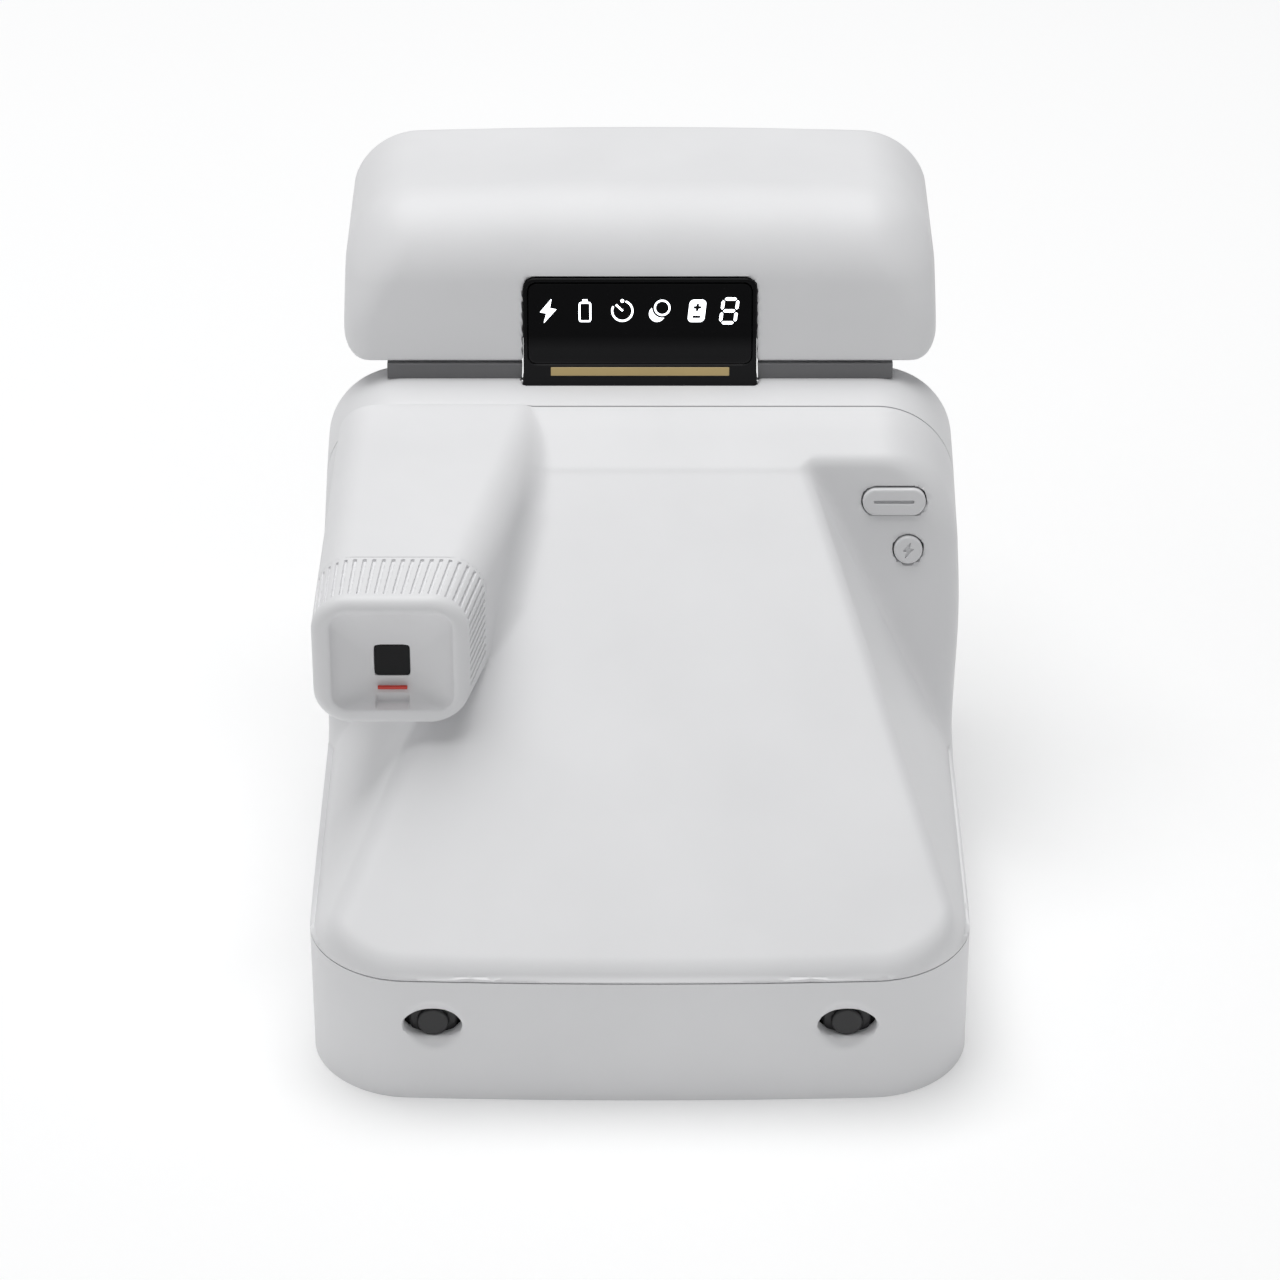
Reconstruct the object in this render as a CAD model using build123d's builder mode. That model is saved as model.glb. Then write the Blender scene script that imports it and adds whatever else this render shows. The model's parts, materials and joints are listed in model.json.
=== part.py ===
from build123d import *
from math import atan2, cos, pi, radians, sin, tan
import os

# Flip-lid instant camera for integral film, modelled with the lid open.
# X runs to the right seen from behind, Y forward to the subject, Z up.
# The origin is the centre of the base, on the surface that the camera stands on.

# ---- driving dimensions, mm ----
LENGTH = 131.4
WIDTH = 110.8
CORNER_R = 16.0          # plan corners of the body
BASE_R = 8.0             # rounding under the base
WALL = 2.2
SEAM_Z = 24.0            # top of the base tray
TRAY_TOP = 23.75
SEAM_Y = 27.5            # split between rear and front housings
FRONT_Y = 39.2           # front wall of the upper body
NOSE_Z = 39.5            # shelf that the closed lid stands on
GAP = 0.3                # line gap between parts that move apart

RIDGE_Y, RIDGE_Z = 17.0, 76.0        # top edge of the mirror slope
RIM = 1.3                            # height of the slope above the tray seam at the rear
SHOULDER_Z = 81.6                    # body top at the housing seam
CREST_Z = 83.3                       # body top at the front wall
TOP_R = 14.0                         # upper corners of the front block
SLOPE_LEFT_X, SLOPE_RIGHT_X = -19.0, 28.7

HINGE_Y, HINGE_Z = 35.3, 81.5        # lid hinge axis, along X
LENS_X, LENS_Z = 5.0, 61.0
FINDER_X = -41.5
FINDER_REAR_Z, FINDER_FRONT_Z = 61.6, 67.0

DOOR_Y = 44.3            # rear edge of the film door
DOOR_TOP = 31.0
DOOR_PIVOT = (46.2, 1.9)

SLOPE_ANGLE = atan2(RIDGE_Z - SEAM_Z - RIM, RIDGE_Y + LENGTH / 2)
half_length, half_width = LENGTH / 2, WIDTH / 2

os.makedirs("parts", exist_ok=True)


def save(builder, name):
    """Label a finished piece and write its STEP file."""
    builder.part.label = name
    export_step(builder.part, f"parts/{name}.step")


def box_between(low, high, mode=Mode.ADD):
    """Box given by two opposite corners."""
    size = [b - a for a, b in zip(low, high)]
    middle = tuple((a + b) / 2 for a, b in zip(low, high))
    with Locations(middle):
        Box(*size, mode=mode)


def rod_x(x0, x1, y, z, radius, mode=Mode.ADD):
    """Cylinder along X from x0 to x1."""
    with Locations(Location(((x0 + x1) / 2, y, z), (0, 90, 0))):
        Cylinder(radius, x1 - x0, mode=mode)


def rod_y(y0, y1, x, z, radius, mode=Mode.ADD):
    """Cylinder along Y from y0 to y1."""
    with Locations(Location((x, (y0 + y1) / 2, z), (90, 0, 0))):
        Cylinder(radius, y1 - y0, mode=mode)


def rod_z(z0, z1, x, y, radius, mode=Mode.ADD):
    """Cylinder along Z from z0 to z1."""
    with Locations((x, y, (z0 + z1) / 2)):
        Cylinder(radius, z1 - z0, mode=mode)


# ---- outer surfaces of the body, as planes with outward normals ----
slope_plane = Plane(
    origin=(0, RIDGE_Y, RIDGE_Z),
    x_dir=(1, 0, 0),
    z_dir=(0, -sin(SLOPE_ANGLE), cos(SLOPE_ANGLE)),
)
facet_run = RIDGE_Z - SEAM_Z
right_facet = Plane(
    origin=(SLOPE_RIGHT_X, RIDGE_Y, RIDGE_Z),
    z_dir=(facet_run, 0, half_width - SLOPE_RIGHT_X),
)
left_facet = Plane(
    origin=(SLOPE_LEFT_X, RIDGE_Y, RIDGE_Z),
    z_dir=(-facet_run, 0, half_width + SLOPE_LEFT_X),
)
shoulder_angle = atan2(SHOULDER_Z - RIDGE_Z, SEAM_Y - RIDGE_Y)
shoulder_plane = Plane(
    origin=(0, RIDGE_Y, RIDGE_Z),
    z_dir=(0, -sin(shoulder_angle), cos(shoulder_angle)),
)
crest_angle = atan2(CREST_Z - SHOULDER_Z, FRONT_Y - 1 - SEAM_Y)
crest_plane = Plane(
    origin=(0, SEAM_Y, SHOULDER_Z),
    z_dir=(0, -sin(crest_angle), cos(crest_angle)),
)

# the wall that carries the two rear buttons runs down from the ridge and leans back
WALL_LEAN = radians(13.0)
BUTTON_X, BUTTON_DROP = 44.3, 7.16       # the oblong button, below the ridge
button_at = (BUTTON_X, RIDGE_Y - BUTTON_DROP * tan(WALL_LEAN), RIDGE_Z - BUTTON_DROP)
button_plane = Plane(origin=button_at, x_dir=(1, 0, 0), z_dir=(0, -cos(WALL_LEAN), sin(WALL_LEAN)))
ROUND_BUTTON_AT = (2.6, -8.8)

# viewfinder tunnel
TUNNEL_REAR_Y = -17.6
CUP_REAR_Y = -30.0
CUP_LEFT_X, CUP_RIGHT_X = -54.7, -27.7
CUP_LOW_Z, CUP_HIGH_Z = 52.8, 76.5
TUNNEL_R = 6.0
TUNNEL_FLARE = 13.6      # degrees, right wall
tunnel_rise = atan2(SHOULDER_Z - CUP_HIGH_Z, SEAM_Y - CUP_REAR_Y)
tunnel_top = Plane(
    origin=(0, CUP_REAR_Y, CUP_HIGH_Z),
    z_dir=(0, -sin(tunnel_rise), cos(tunnel_rise)),
)
flare = radians(TUNNEL_FLARE)
tunnel_right = Plane(origin=(CUP_RIGHT_X, CUP_REAR_Y, 0), z_dir=(cos(flare), -sin(flare), 0))


def tray_block(inset, bottom, top):
    """Rounded plan of the base, drawn in by inset, with its bottom edge rounded."""
    with BuildPart() as form:
        with BuildSketch(Plane.XY.offset(bottom)):
            RectangleRounded(WIDTH - 2 * inset, LENGTH - 2 * inset, CORNER_R - inset)
        extrude(amount=top - bottom)
        fillet(form.faces().sort_by(Axis.Z)[0].edges(), BASE_R - inset)
    return form.part


def plan_block(inset, bottom, top):
    """Rounded plan of the base, drawn in by inset, with plain edges."""
    with BuildPart() as form:
        with BuildSketch(Plane.XY.offset(bottom)):
            RectangleRounded(WIDTH - 2 * inset, LENGTH - 2 * inset, CORNER_R - inset)
        extrude(amount=top - bottom)
    return form.part


def hump(inset, bottom, front):
    """Mirror hump: the plan of the base cut by the slope, the side facets and the shoulder."""
    with BuildPart() as form:
        add(plan_block(inset, bottom, CREST_Z))
        for plane in (slope_plane, right_facet, left_facet, shoulder_plane):
            split(bisect_by=plane.offset(-inset), keep=Keep.BOTTOM)
        split(bisect_by=Plane.XZ.offset(-front), keep=Keep.TOP)
    return form.part


def block(inset, bottom, rear, front, top_planes):
    """Front block: a box with rounded upper corners, cut to its sloping top."""
    with BuildPart() as form:
        with BuildSketch(Plane.XZ.offset(-front)) as section:
            with Locations((0, (bottom + CREST_Z - inset) / 2)):
                Rectangle(WIDTH - 2 * inset, CREST_Z - inset - bottom)
            fillet(section.vertices().group_by(Axis.Y)[-1], TOP_R - inset)
        extrude(amount=front - rear)
        for plane in top_planes:
            split(bisect_by=plane.offset(-inset), keep=Keep.BOTTOM)
    return form.part


def tunnel(inset, rear):
    """Viewfinder tunnel, flared towards the front."""
    with BuildPart() as form:
        with BuildSketch(Plane.XZ.offset(-SEAM_Y)) as section:
            with Locations(((CUP_LEFT_X + SLOPE_RIGHT_X) / 2, (CUP_LOW_Z + CREST_Z) / 2)):
                Rectangle(SLOPE_RIGHT_X - CUP_LEFT_X - 2 * inset, CREST_Z - CUP_LOW_Z - 2 * inset)
        extrude(amount=SEAM_Y - rear)
        split(bisect_by=tunnel_top.offset(-inset), keep=Keep.BOTTOM)
        split(bisect_by=tunnel_right.offset(-inset), keep=Keep.BOTTOM)
        top = form.faces().sort_by(Axis.Z)[-1]
        sides = [edge for edge in top.edges() if abs(edge.tangent_at(0.5).Y) > 0.9]
        fillet(sides, TUNNEL_R - inset)
    return form.part


def rear_body(inset, bottom, tunnel_rear):
    """Everything behind the housing seam and above the tray, drawn in by inset."""
    with BuildPart() as form:
        add(hump(inset, bottom, SEAM_Y))
        add(block(inset, bottom, 0, SEAM_Y, (shoulder_plane, slope_plane, button_plane)))
        add(tunnel(inset, tunnel_rear))
    return form.part


def button_pocket(clearance, low, high):
    """Oblong and round prisms that stand on the button wall from depth low to depth high."""
    with BuildPart() as form:
        with BuildSketch(button_plane.offset(low)):
            SlotOverall(11.1 + 2 * clearance, 5.0 + 2 * clearance)
            with Locations(ROUND_BUTTON_AT):
                Circle(2.55 + clearance)
        extrude(amount=high - low)
    return form.part


# =====================  base tray and what it holds  =====================
STUD_X, STUD_Z = 34.3, 15.0
RECESS_R, RECESS_DEPTH = 5.4, 3.2
SCREW_SPOTS = [(-47.75, -44.0), (47.75, -44.0), (-47.75, 30.0), (47.75, 30.0)]
FLOOR = WALL

with BuildPart() as base_tray:
    add(tray_block(0, 0, TRAY_TOP))
    add(tray_block(WALL, FLOOR, SEAM_Z + 1), mode=Mode.SUBTRACT)
    split(bisect_by=Plane.XZ.offset(-(DOOR_Y - GAP)), keep=Keep.TOP)
    for side in (-1, 1):
        # cup behind each strap stud
        rod_y(-half_length + WALL - 0.5, -half_length + RECESS_DEPTH + 1, side * STUD_X, STUD_Z, RECESS_R + 1)
        rod_y(-half_length - 1, -half_length + RECESS_DEPTH, side * STUD_X, STUD_Z, RECESS_R, Mode.SUBTRACT)
        # lug of the door hinge
        lug = (side * 44.0 - 3.0, side * 44.0 + 3.0)
        box_between((lug[0], DOOR_Y - GAP - 2, 0), (lug[1], DOOR_PIVOT[0], 2 * DOOR_PIVOT[1]))
        rod_x(lug[0], lug[1], *DOOR_PIVOT, DOOR_PIVOT[1])
        rod_x(lug[0] - 1, lug[1] + 1, *DOOR_PIVOT, 0.75, Mode.SUBTRACT)
    for x, y in SCREW_SPOTS:
        rod_z(-1, FLOOR + 1, x, y, 1.0, Mode.SUBTRACT)
        rod_z(-1, 1.0, x, y, 2.1, Mode.SUBTRACT)
save(base_tray, "base_tray")

with BuildPart() as strap_studs:
    for side in (-1, 1):
        back = -half_length + RECESS_DEPTH
        rod_y(back - 1.0, back, side * STUD_X, STUD_Z, RECESS_R - 0.1)
        rod_y(back - 2.0, back - 1.0, side * STUD_X, STUD_Z, 4.0)
        rod_y(back - 2.9, back - 2.0, side * STUD_X, STUD_Z, 2.6)
save(strap_studs, "strap_studs")

with BuildPart() as case_screws:
    for x, y in SCREW_SPOTS:
        rod_z(0.2, 1.0, x, y, 1.9)
        rod_z(1.0, 10.0, x, y, 0.78)
save(case_screws, "case_screws")

# film chamber, open at the front, with the exposure window in its roof
CHAMBER_X, CHAMBER_REAR, CHAMBER_FRONT = 46.2, -60.3, 46.8
CHAMBER_LOW, CHAMBER_HIGH = 3.8, 21.2
CHASSIS_X, CHASSIS_REAR, CHASSIS_HIGH = 49.3, -61.3, 22.6
CHASSIS_R = 12.0


def open_tray(half, rear, front, low, high, radius):
    """Solid block with rounded rear corners and a square front."""
    with BuildPart() as form:
        box_between((-half, rear, low), (half, front, high))
        fillet(form.edges().filter_by(Axis.Z).group_by(Axis.Y)[0], radius)
    return form.part


with BuildPart() as film_chassis:
    add(open_tray(CHASSIS_X, CHASSIS_REAR, CHAMBER_FRONT, FLOOR, CHASSIS_HIGH, CHASSIS_R))
    bottom_edges = film_chassis.faces().sort_by(Axis.Z)[0].edges().sort_by(Axis.Y)[:-1]
    fillet(bottom_edges, 5.0)
    cavity = (CHAMBER_X, CHAMBER_REAR, CHAMBER_FRONT + 1, CHAMBER_LOW, CHAMBER_HIGH, CHASSIS_R - 2)
    add(open_tray(*cavity), mode=Mode.SUBTRACT)
    box_between((-40, -50, CHAMBER_HIGH - 1), (40, 6, CHASSIS_HIGH + 1), Mode.SUBTRACT)
    box_between((CHAMBER_X - 1, -46.0, 11.5), (CHASSIS_X + 1, -30.0, 14.5), Mode.SUBTRACT)
    # room for the knuckles of the door hinge
    box_between((-50, 43.9, 0), (50, 47, CHAMBER_LOW + 0.2), Mode.SUBTRACT)
    for side in (-1, 1):
        middle = side * 44.0
        box_between((middle - 3.5, 41.8, 0), (middle + 3.5, 47, CHAMBER_LOW + 0.2), Mode.SUBTRACT)
    for x, y in SCREW_SPOTS:
        rod_z(FLOOR - 1, 10.0, x, y, 0.8, Mode.SUBTRACT)
save(film_chassis, "film_chassis")

# spring fingers that meet the contacts under the film pack
with BuildPart() as pack_contacts:
    for x in (-8.0, 8.0):
        box_between((x - 2, 20, CHAMBER_LOW), (x + 2, 40, CHAMBER_LOW + 0.4))
        with BuildSketch(Plane.YZ.offset(x - 2)):
            with BuildLine():
                Polyline((24, CHAMBER_LOW + 0.4), (32, CHAMBER_LOW + 2.0), (38, CHAMBER_LOW + 0.4))
                Polyline((38, CHAMBER_LOW + 0.4), (37, CHAMBER_LOW + 0.4), (32, CHAMBER_LOW + 1.5),
                         (25.5, CHAMBER_LOW + 0.4), (24, CHAMBER_LOW + 0.4))
            make_face()
        extrude(amount=4)
save(pack_contacts, "pack_contacts")

# pusher that hooks the rear edge of a frame and slides it to the rollers
with BuildPart() as pick_arm:
    box_between((CHASSIS_X + 0.2, -45.0, 10.0), (CHASSIS_X + 1.6, -10.0, 16.0))
    box_between((CHAMBER_X - 2.2, -44.5, 12.0), (CHASSIS_X + 0.3, -42.0, 14.0))
save(pick_arm, "pick_arm")

# =====================  dark box, mirror and lens group  =====================
BOX_INSET = 2.9
BOX_WALL = 1.2
MIRROR_T = 2.0
BOX_X = 44.0
BOX_REAR, BOX_FRONT = -56.0, 27.3
DUCT_LEFT, DUCT_RIGHT, DUCT_TOP = -21.0, 29.8, 74.6
DUCT_REAR = 4.0
BOX_SPLIT = 8.0


def duct_form(wall, bottom):
    """Duct from the cone forward to the lens, drawn in by wall."""
    with BuildPart() as form:
        low = (DUCT_LEFT + wall, DUCT_REAR, bottom)
        box_between(low, (DUCT_RIGHT - wall, BOX_FRONT - wall, DUCT_TOP - wall))
        for plane in (slope_plane, right_facet, left_facet):
            split(bisect_by=plane.offset(-BOX_INSET - wall), keep=Keep.BOTTOM)
    return form.part


def dark_box_form(wall, bottom):
    """Light-tight cone under the slope and its duct, drawn in by wall."""
    with BuildPart() as form:
        add(hump(BOX_INSET + wall, bottom, BOX_SPLIT - wall))
        low = (-BOX_X + wall, BOX_REAR + wall, bottom)
        box_between(low, (BOX_X - wall, BOX_SPLIT - wall, CREST_Z), Mode.INTERSECT)
        add(duct_form(wall, bottom))
    return form.part


with BuildPart() as dark_box:
    add(dark_box_form(0, CHASSIS_HIGH))
    add(dark_box_form(BOX_WALL, CHASSIS_HIGH - 1), mode=Mode.SUBTRACT)
    rod_y(BOX_FRONT - 2, BOX_FRONT + 1, LENS_X, LENS_Z, 7.0, Mode.SUBTRACT)
save(dark_box, "dark_box")

# trapezoid mirror glued under the sloping roof of the dark box
MIRROR_FRONT_Y, MIRROR_REAR_Y = 12.0, -50.0
with BuildPart() as mirror:
    add(hump(BOX_INSET + BOX_WALL, CHASSIS_HIGH, MIRROR_FRONT_Y))
    split(bisect_by=slope_plane.offset(-BOX_INSET - BOX_WALL - MIRROR_T), keep=Keep.TOP)
    split(bisect_by=Plane.XZ.offset(-MIRROR_REAR_Y), keep=Keep.BOTTOM)
    box_between((-BOX_X + 3, -60, 0), (BOX_X - 3, BOX_SPLIT - BOX_WALL - 0.5, CREST_Z), Mode.INTERSECT)
save(mirror, "mirror")

SHUTTER_Y = BOX_FRONT
with BuildPart() as shutter_plate:
    box_between((LENS_X - 19, SHUTTER_Y, LENS_Z - 14), (LENS_X + 19, SHUTTER_Y + 2.2, LENS_Z + 12))
    low = (LENS_X - 17, SHUTTER_Y + 1.0, LENS_Z - 4.9)
    box_between(low, (LENS_X + 17, SHUTTER_Y + 3, LENS_Z + 4.9), Mode.SUBTRACT)
    rod_y(SHUTTER_Y - 1, SHUTTER_Y + 3, LENS_X, LENS_Z, 4.2, Mode.SUBTRACT)
    rod_y(SHUTTER_Y + 1.0, SHUTTER_Y + 7.4, LENS_X, LENS_Z - 6, 1.0)
save(shutter_plate, "shutter_plate")

# two blades that part to open the aperture; at rest they meet over it
BLADE_TRAVEL = 5.5
for side, name in ((-1, "left"), (1, "right")):
    with BuildPart() as shutter_blade:
        ends = sorted((LENS_X + side * 0.15, LENS_X + side * 10.5))
        box_between((ends[0], SHUTTER_Y + 1.2, LENS_Z - 4.6), (ends[1], SHUTTER_Y + 1.8, LENS_Z + 4.6))
    save(shutter_blade, f"shutter_blade_{name}")


def gear_sketch(teeth, module, phase):
    """Spur gear outline with straight-sided stub teeth; phase is the angle of one tooth."""
    pitch_r = teeth * module / 2
    half_tooth = 0.215 * pi * module
    tip_r, root_r = pitch_r + 0.75 * module, pitch_r - 1.0 * module
    tip, root = half_tooth - 0.75 * module * tan(radians(22)), half_tooth + 0.35 * module
    outline = []
    for i in range(teeth):
        middle = phase + 2 * pi * i / teeth
        for radius, offset in ((root_r, -root), (tip_r, -tip), (tip_r, tip), (root_r, root)):
            angle = middle + atan2(offset, radius)
            outline.append((radius * cos(angle), radius * sin(angle)))
    with BuildSketch() as sketch:
        with BuildLine():
            Polyline(*outline, close=True)
        make_face()
    return sketch.sketch


def mate_phase(angle, teeth, phase, mate_teeth, module):
    """Tooth angle that puts a mating gear in mesh with one whose tooth angle is phase."""
    shift = teeth * module / 2 * (phase - angle) + pi * module / 2
    return angle + pi - shift / (mate_teeth * module / 2)


# rotating disc of four lens elements with a toothed rim
DISC_Y, DISC_T = SHUTTER_Y + 5.0, 2.0
DISC_TEETH, PINION_TEETH, FOCUS_MODULE = 46, 10, 0.5
DISC_Z = LENS_Z - 6.0
PINION_ANGLE = radians(-15)
focus_reach = (DISC_TEETH + PINION_TEETH) * FOCUS_MODULE / 2
focus_x = LENS_X + focus_reach * cos(PINION_ANGLE)
focus_z = DISC_Z + focus_reach * sin(PINION_ANGLE)


def facing_rear(x, y, z):
    """Sketch plane at (x, y, z) seen from behind: its own X is +X, its own Y is +Z."""
    return Plane(origin=(x, y, z), x_dir=(1, 0, 0), z_dir=(0, -1, 0))


with BuildPart() as lens_disc:
    with BuildSketch(facing_rear(LENS_X, DISC_Y + DISC_T, DISC_Z)):
        add(gear_sketch(DISC_TEETH, FOCUS_MODULE, PINION_ANGLE))
        Circle(1.05, mode=Mode.SUBTRACT)
        with PolarLocations(6.0, 4):
            Circle(3.8, mode=Mode.SUBTRACT)
    extrude(amount=DISC_T)
save(lens_disc, "lens_disc")

with BuildPart() as lens_elements:
    with BuildSketch(facing_rear(LENS_X, DISC_Y + DISC_T - 0.3, DISC_Z)):
        with PolarLocations(6.0, 4):
            Circle(3.8)
    extrude(amount=DISC_T - 0.6)
save(lens_elements, "lens_elements")

pinion_phase = mate_phase(PINION_ANGLE, DISC_TEETH, PINION_ANGLE, PINION_TEETH, FOCUS_MODULE)
with BuildPart() as focus_pinion:
    with BuildSketch(facing_rear(focus_x, DISC_Y + DISC_T, focus_z)):
        add(gear_sketch(PINION_TEETH, FOCUS_MODULE, pinion_phase))
    extrude(amount=DISC_T)
    rod_y(DISC_Y + DISC_T, DISC_Y + DISC_T + 2.2, focus_x, focus_z, 0.5)
save(focus_pinion, "focus_pinion")

FASCIA_FACE = 43.0
with BuildPart() as focus_motor:
    rod_y(DISC_Y + DISC_T + 1.2, FASCIA_FACE - 2, focus_x, focus_z, 3.5)
    rod_y(DISC_Y + DISC_T + 1, DISC_Y + DISC_T + 3.4, focus_x, focus_z, 0.55, Mode.SUBTRACT)
save(focus_motor, "focus_motor")

# =====================  front housing, fascia and what they carry  =====================
FASCIA_X, FASCIA_LOW, FASCIA_HIGH, FASCIA_REAR = 47.8, 44.7, 76.0, 35.6
NOTCH_X, NOTCH_Z, NOTCH_REAR = 20.8, 78.8, 32.9      # room for the hinge barrel of the lid
BOSS_X, PIN_X, PIN_R = 27.0, 26.0, 1.0
SEAL_X0, SEAL_X1, SEAL_R, SEAL_REAR = 20.8, 44.5, 4.1, 34.7


def nose_form(inset, bottom, rear, door_room):
    """Nose below the lid, drawn in by inset, with room for the film door up to door_room."""
    with BuildPart() as form:
        add(plan_block(inset, bottom, NOSE_Z - inset))
        split(bisect_by=Plane.XZ.offset(-rear), keep=Keep.BOTTOM)
        if door_room > bottom:
            box_between((-WIDTH, DOOR_Y - GAP, 0), (WIDTH, LENGTH, door_room), Mode.SUBTRACT)
    return form.part


def front_body(inset, bottom, rear, door_room):
    """Everything ahead of the plane at rear: upper block and the nose below the lid."""
    with BuildPart() as form:
        add(block(inset, bottom, rear, FRONT_Y - inset, (crest_plane,)))
        add(nose_form(inset, bottom, rear, door_room))
    return form.part


with BuildPart() as front_housing:
    add(front_body(0, SEAM_Z, SEAM_Y, DOOR_TOP + GAP))
    add(front_body(WALL, SEAM_Z - 1, SEAM_Y - 1, 0), mode=Mode.SUBTRACT)
    split(bisect_by=Plane.XZ.offset(-SEAM_Y - 0.1), keep=Keep.BOTTOM)
    # bosses of the lid hinge pin, then the notch for the hinge barrel
    box_between((-BOSS_X, 33.5, NOTCH_Z - 1.5), (BOSS_X, FRONT_Y - 0.5, HINGE_Z + 1.0))
    box_between((-NOTCH_X, NOTCH_REAR, NOTCH_Z), (NOTCH_X, FRONT_Y + 1, CREST_Z + 1), Mode.SUBTRACT)
    rod_x(-PIN_X - 0.2, PIN_X + 0.2, HINGE_Y, HINGE_Z, PIN_R, Mode.SUBTRACT)
    low = (-FASCIA_X - 0.2, FRONT_Y - WALL - 1, FASCIA_LOW - 0.2)
    box_between(low, (FASCIA_X + 0.2, FRONT_Y + 1, FASCIA_HIGH + 0.2), Mode.SUBTRACT)
    # posts for the main board
    for z in (50.0, 68.0):
        rod_y(35.2, FRONT_Y - WALL + 0.1, 49.8, z, 1.3)
    # slots for the charging port and the door latch
    box_between((half_width - WALL - 1, 30.7, 55.9), (half_width + 1, 34.1, 65.1), Mode.SUBTRACT)
    box_between((half_width - WALL - 1, 31.2, 29.6), (half_width + 1, 36.8, 38.0), Mode.SUBTRACT)
save(front_housing, "front_housing")

# soft strips that close the gap under the open lid on both sides of the hinge barrel
with BuildPart() as hinge_seals:
    for side in (-1, 1):
        ends = sorted((side * SEAL_X0, side * SEAL_X1))
        rod_x(ends[0], ends[1], HINGE_Y, HINGE_Z, SEAL_R)
    split(bisect_by=crest_plane, keep=Keep.TOP)
    split(bisect_by=Plane.XZ.offset(-SEAL_REAR), keep=Keep.BOTTOM)
save(hinge_seals, "hinge_seals")

with BuildPart() as front_fascia:
    box_between((-FASCIA_X, FASCIA_REAR, FASCIA_LOW), (FASCIA_X, FASCIA_FACE, FASCIA_HIGH))
    fillet(front_fascia.edges().filter_by(Axis.Y), 3.0)
    fillet(front_fascia.faces().sort_by(Axis.Y)[-1].edges(), 1.0)
    low = (-FASCIA_X + 2, FASCIA_REAR - 1, FASCIA_LOW + 2)
    box_between(low, (FASCIA_X - 2, FASCIA_FACE - 2, FASCIA_HIGH - 2), Mode.SUBTRACT)
    rod_y(FASCIA_FACE - 3, FASCIA_FACE + 1, LENS_X, LENS_Z, 12.6, Mode.SUBTRACT)
    low = (FINDER_X - 5, FASCIA_FACE - 3, FINDER_FRONT_Z - 4.5)
    box_between(low, (FINDER_X + 5, FASCIA_FACE + 1, FINDER_FRONT_Z + 4.5), Mode.SUBTRACT)
    for z in (55.5, 68.5):
        rod_y(FASCIA_FACE - 3, FASCIA_FACE + 1, -19.0, z, 4.5, Mode.SUBTRACT)
    rod_y(FASCIA_FACE - 3, FASCIA_FACE + 1, 38.0, 55.0, 5.0, Mode.SUBTRACT)
save(front_fascia, "front_fascia")

with BuildPart() as lens_barrel:
    with BuildSketch(Plane.YZ.offset(LENS_X)):
        with BuildLine():
            Polyline(
                (36.2, LENS_Z + 9.0),
                (36.2, LENS_Z + 12.3),
                (48.5, LENS_Z + 12.3),
                (51.0, LENS_Z + 10.6),
                (51.0, LENS_Z + 9.6),
                (49.2, LENS_Z + 9.0),
                close=True,
            )
        make_face()
    revolve(axis=Axis((LENS_X, 0, LENS_Z), (0, 1, 0)))
save(lens_barrel, "lens_barrel")

with BuildPart() as front_glass:
    rod_y(47.2, 48.7, LENS_X, LENS_Z, 9.0)
save(front_glass, "front_glass")

with BuildPart() as range_sensors:
    for z in (55.5, 68.5):
        rod_y(FASCIA_FACE - 3.0, FASCIA_FACE - 0.4, -19.0, z, 4.4)
save(range_sensors, "range_sensors")

with BuildPart() as finder_window:
    low = (FINDER_X - 4.9, FASCIA_FACE - 1.6, FINDER_FRONT_Z - 4.4)
    box_between(low, (FINDER_X + 4.9, FASCIA_FACE - 0.3, FINDER_FRONT_Z + 4.4))
save(finder_window, "finder_window")

SHUTTER_KEY_X, SHUTTER_KEY_Z = 38.0, 55.0
with BuildPart() as shutter_button:
    rod_y(FASCIA_FACE - 3.6, FASCIA_FACE - 2.4, SHUTTER_KEY_X, SHUTTER_KEY_Z, 5.8)
    rod_y(FASCIA_FACE - 3.0, FASCIA_FACE + 1.8, SHUTTER_KEY_X, SHUTTER_KEY_Z, 4.7)
    fillet(shutter_button.faces().sort_by(Axis.Y)[-1].edges(), 0.8)
    rod_y(FASCIA_FACE - 4.2, FASCIA_FACE - 3.0, SHUTTER_KEY_X, SHUTTER_KEY_Z, 1.5)
save(shutter_button, "shutter_button")

BOARD_X0, BOARD_X1 = 31.0, 51.0
with BuildPart() as main_board:
    box_between((BOARD_X0, 34.0, 28.0), (BOARD_X1, 35.2, 74.0))
    box_between((SHUTTER_KEY_X - 3, 35.2, SHUTTER_KEY_Z - 3), (SHUTTER_KEY_X + 3, 37.0, SHUTTER_KEY_Z + 3))
    box_between((33.0, 35.2, 62.0), (42.0, 36.2, 71.0))
save(main_board, "main_board")

with BuildPart() as battery:
    box_between((BOARD_X0, 28.0, 26.0), (46.5, 34.0, 70.0))
    fillet(battery.edges().filter_by(Axis.Z), 1.5)
save(battery, "battery")

with BuildPart() as charging_port:
    box_between((47.4, 30.85, 56.1), (half_width - 0.4, 33.95, 64.9))
    fillet(charging_port.edges().filter_by(Axis.X), 1.3)
    box_between((49.5, 31.2, 56.5), (half_width + 1, 33.6, 64.5), Mode.SUBTRACT)
    box_between((49.4, 32.1, 57.3), (half_width - 1.2, 32.7, 63.7))
    box_between((47.4, 33.6, 57.0), (50.5, 34.0, 64.0))
save(charging_port, "charging_port")

with BuildPart() as flash_capacitor:
    rod_x(-48.0, -22.6, 30.0, 51.2, 4.6)
save(flash_capacitor, "flash_capacitor")

# rear buttons: cap, retaining flange and stem
KEY_TRAVEL = 0.8
FLANGE_T = 0.8
BOARD_DEPTH = 7.6
SWITCH_T = 1.6


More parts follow.
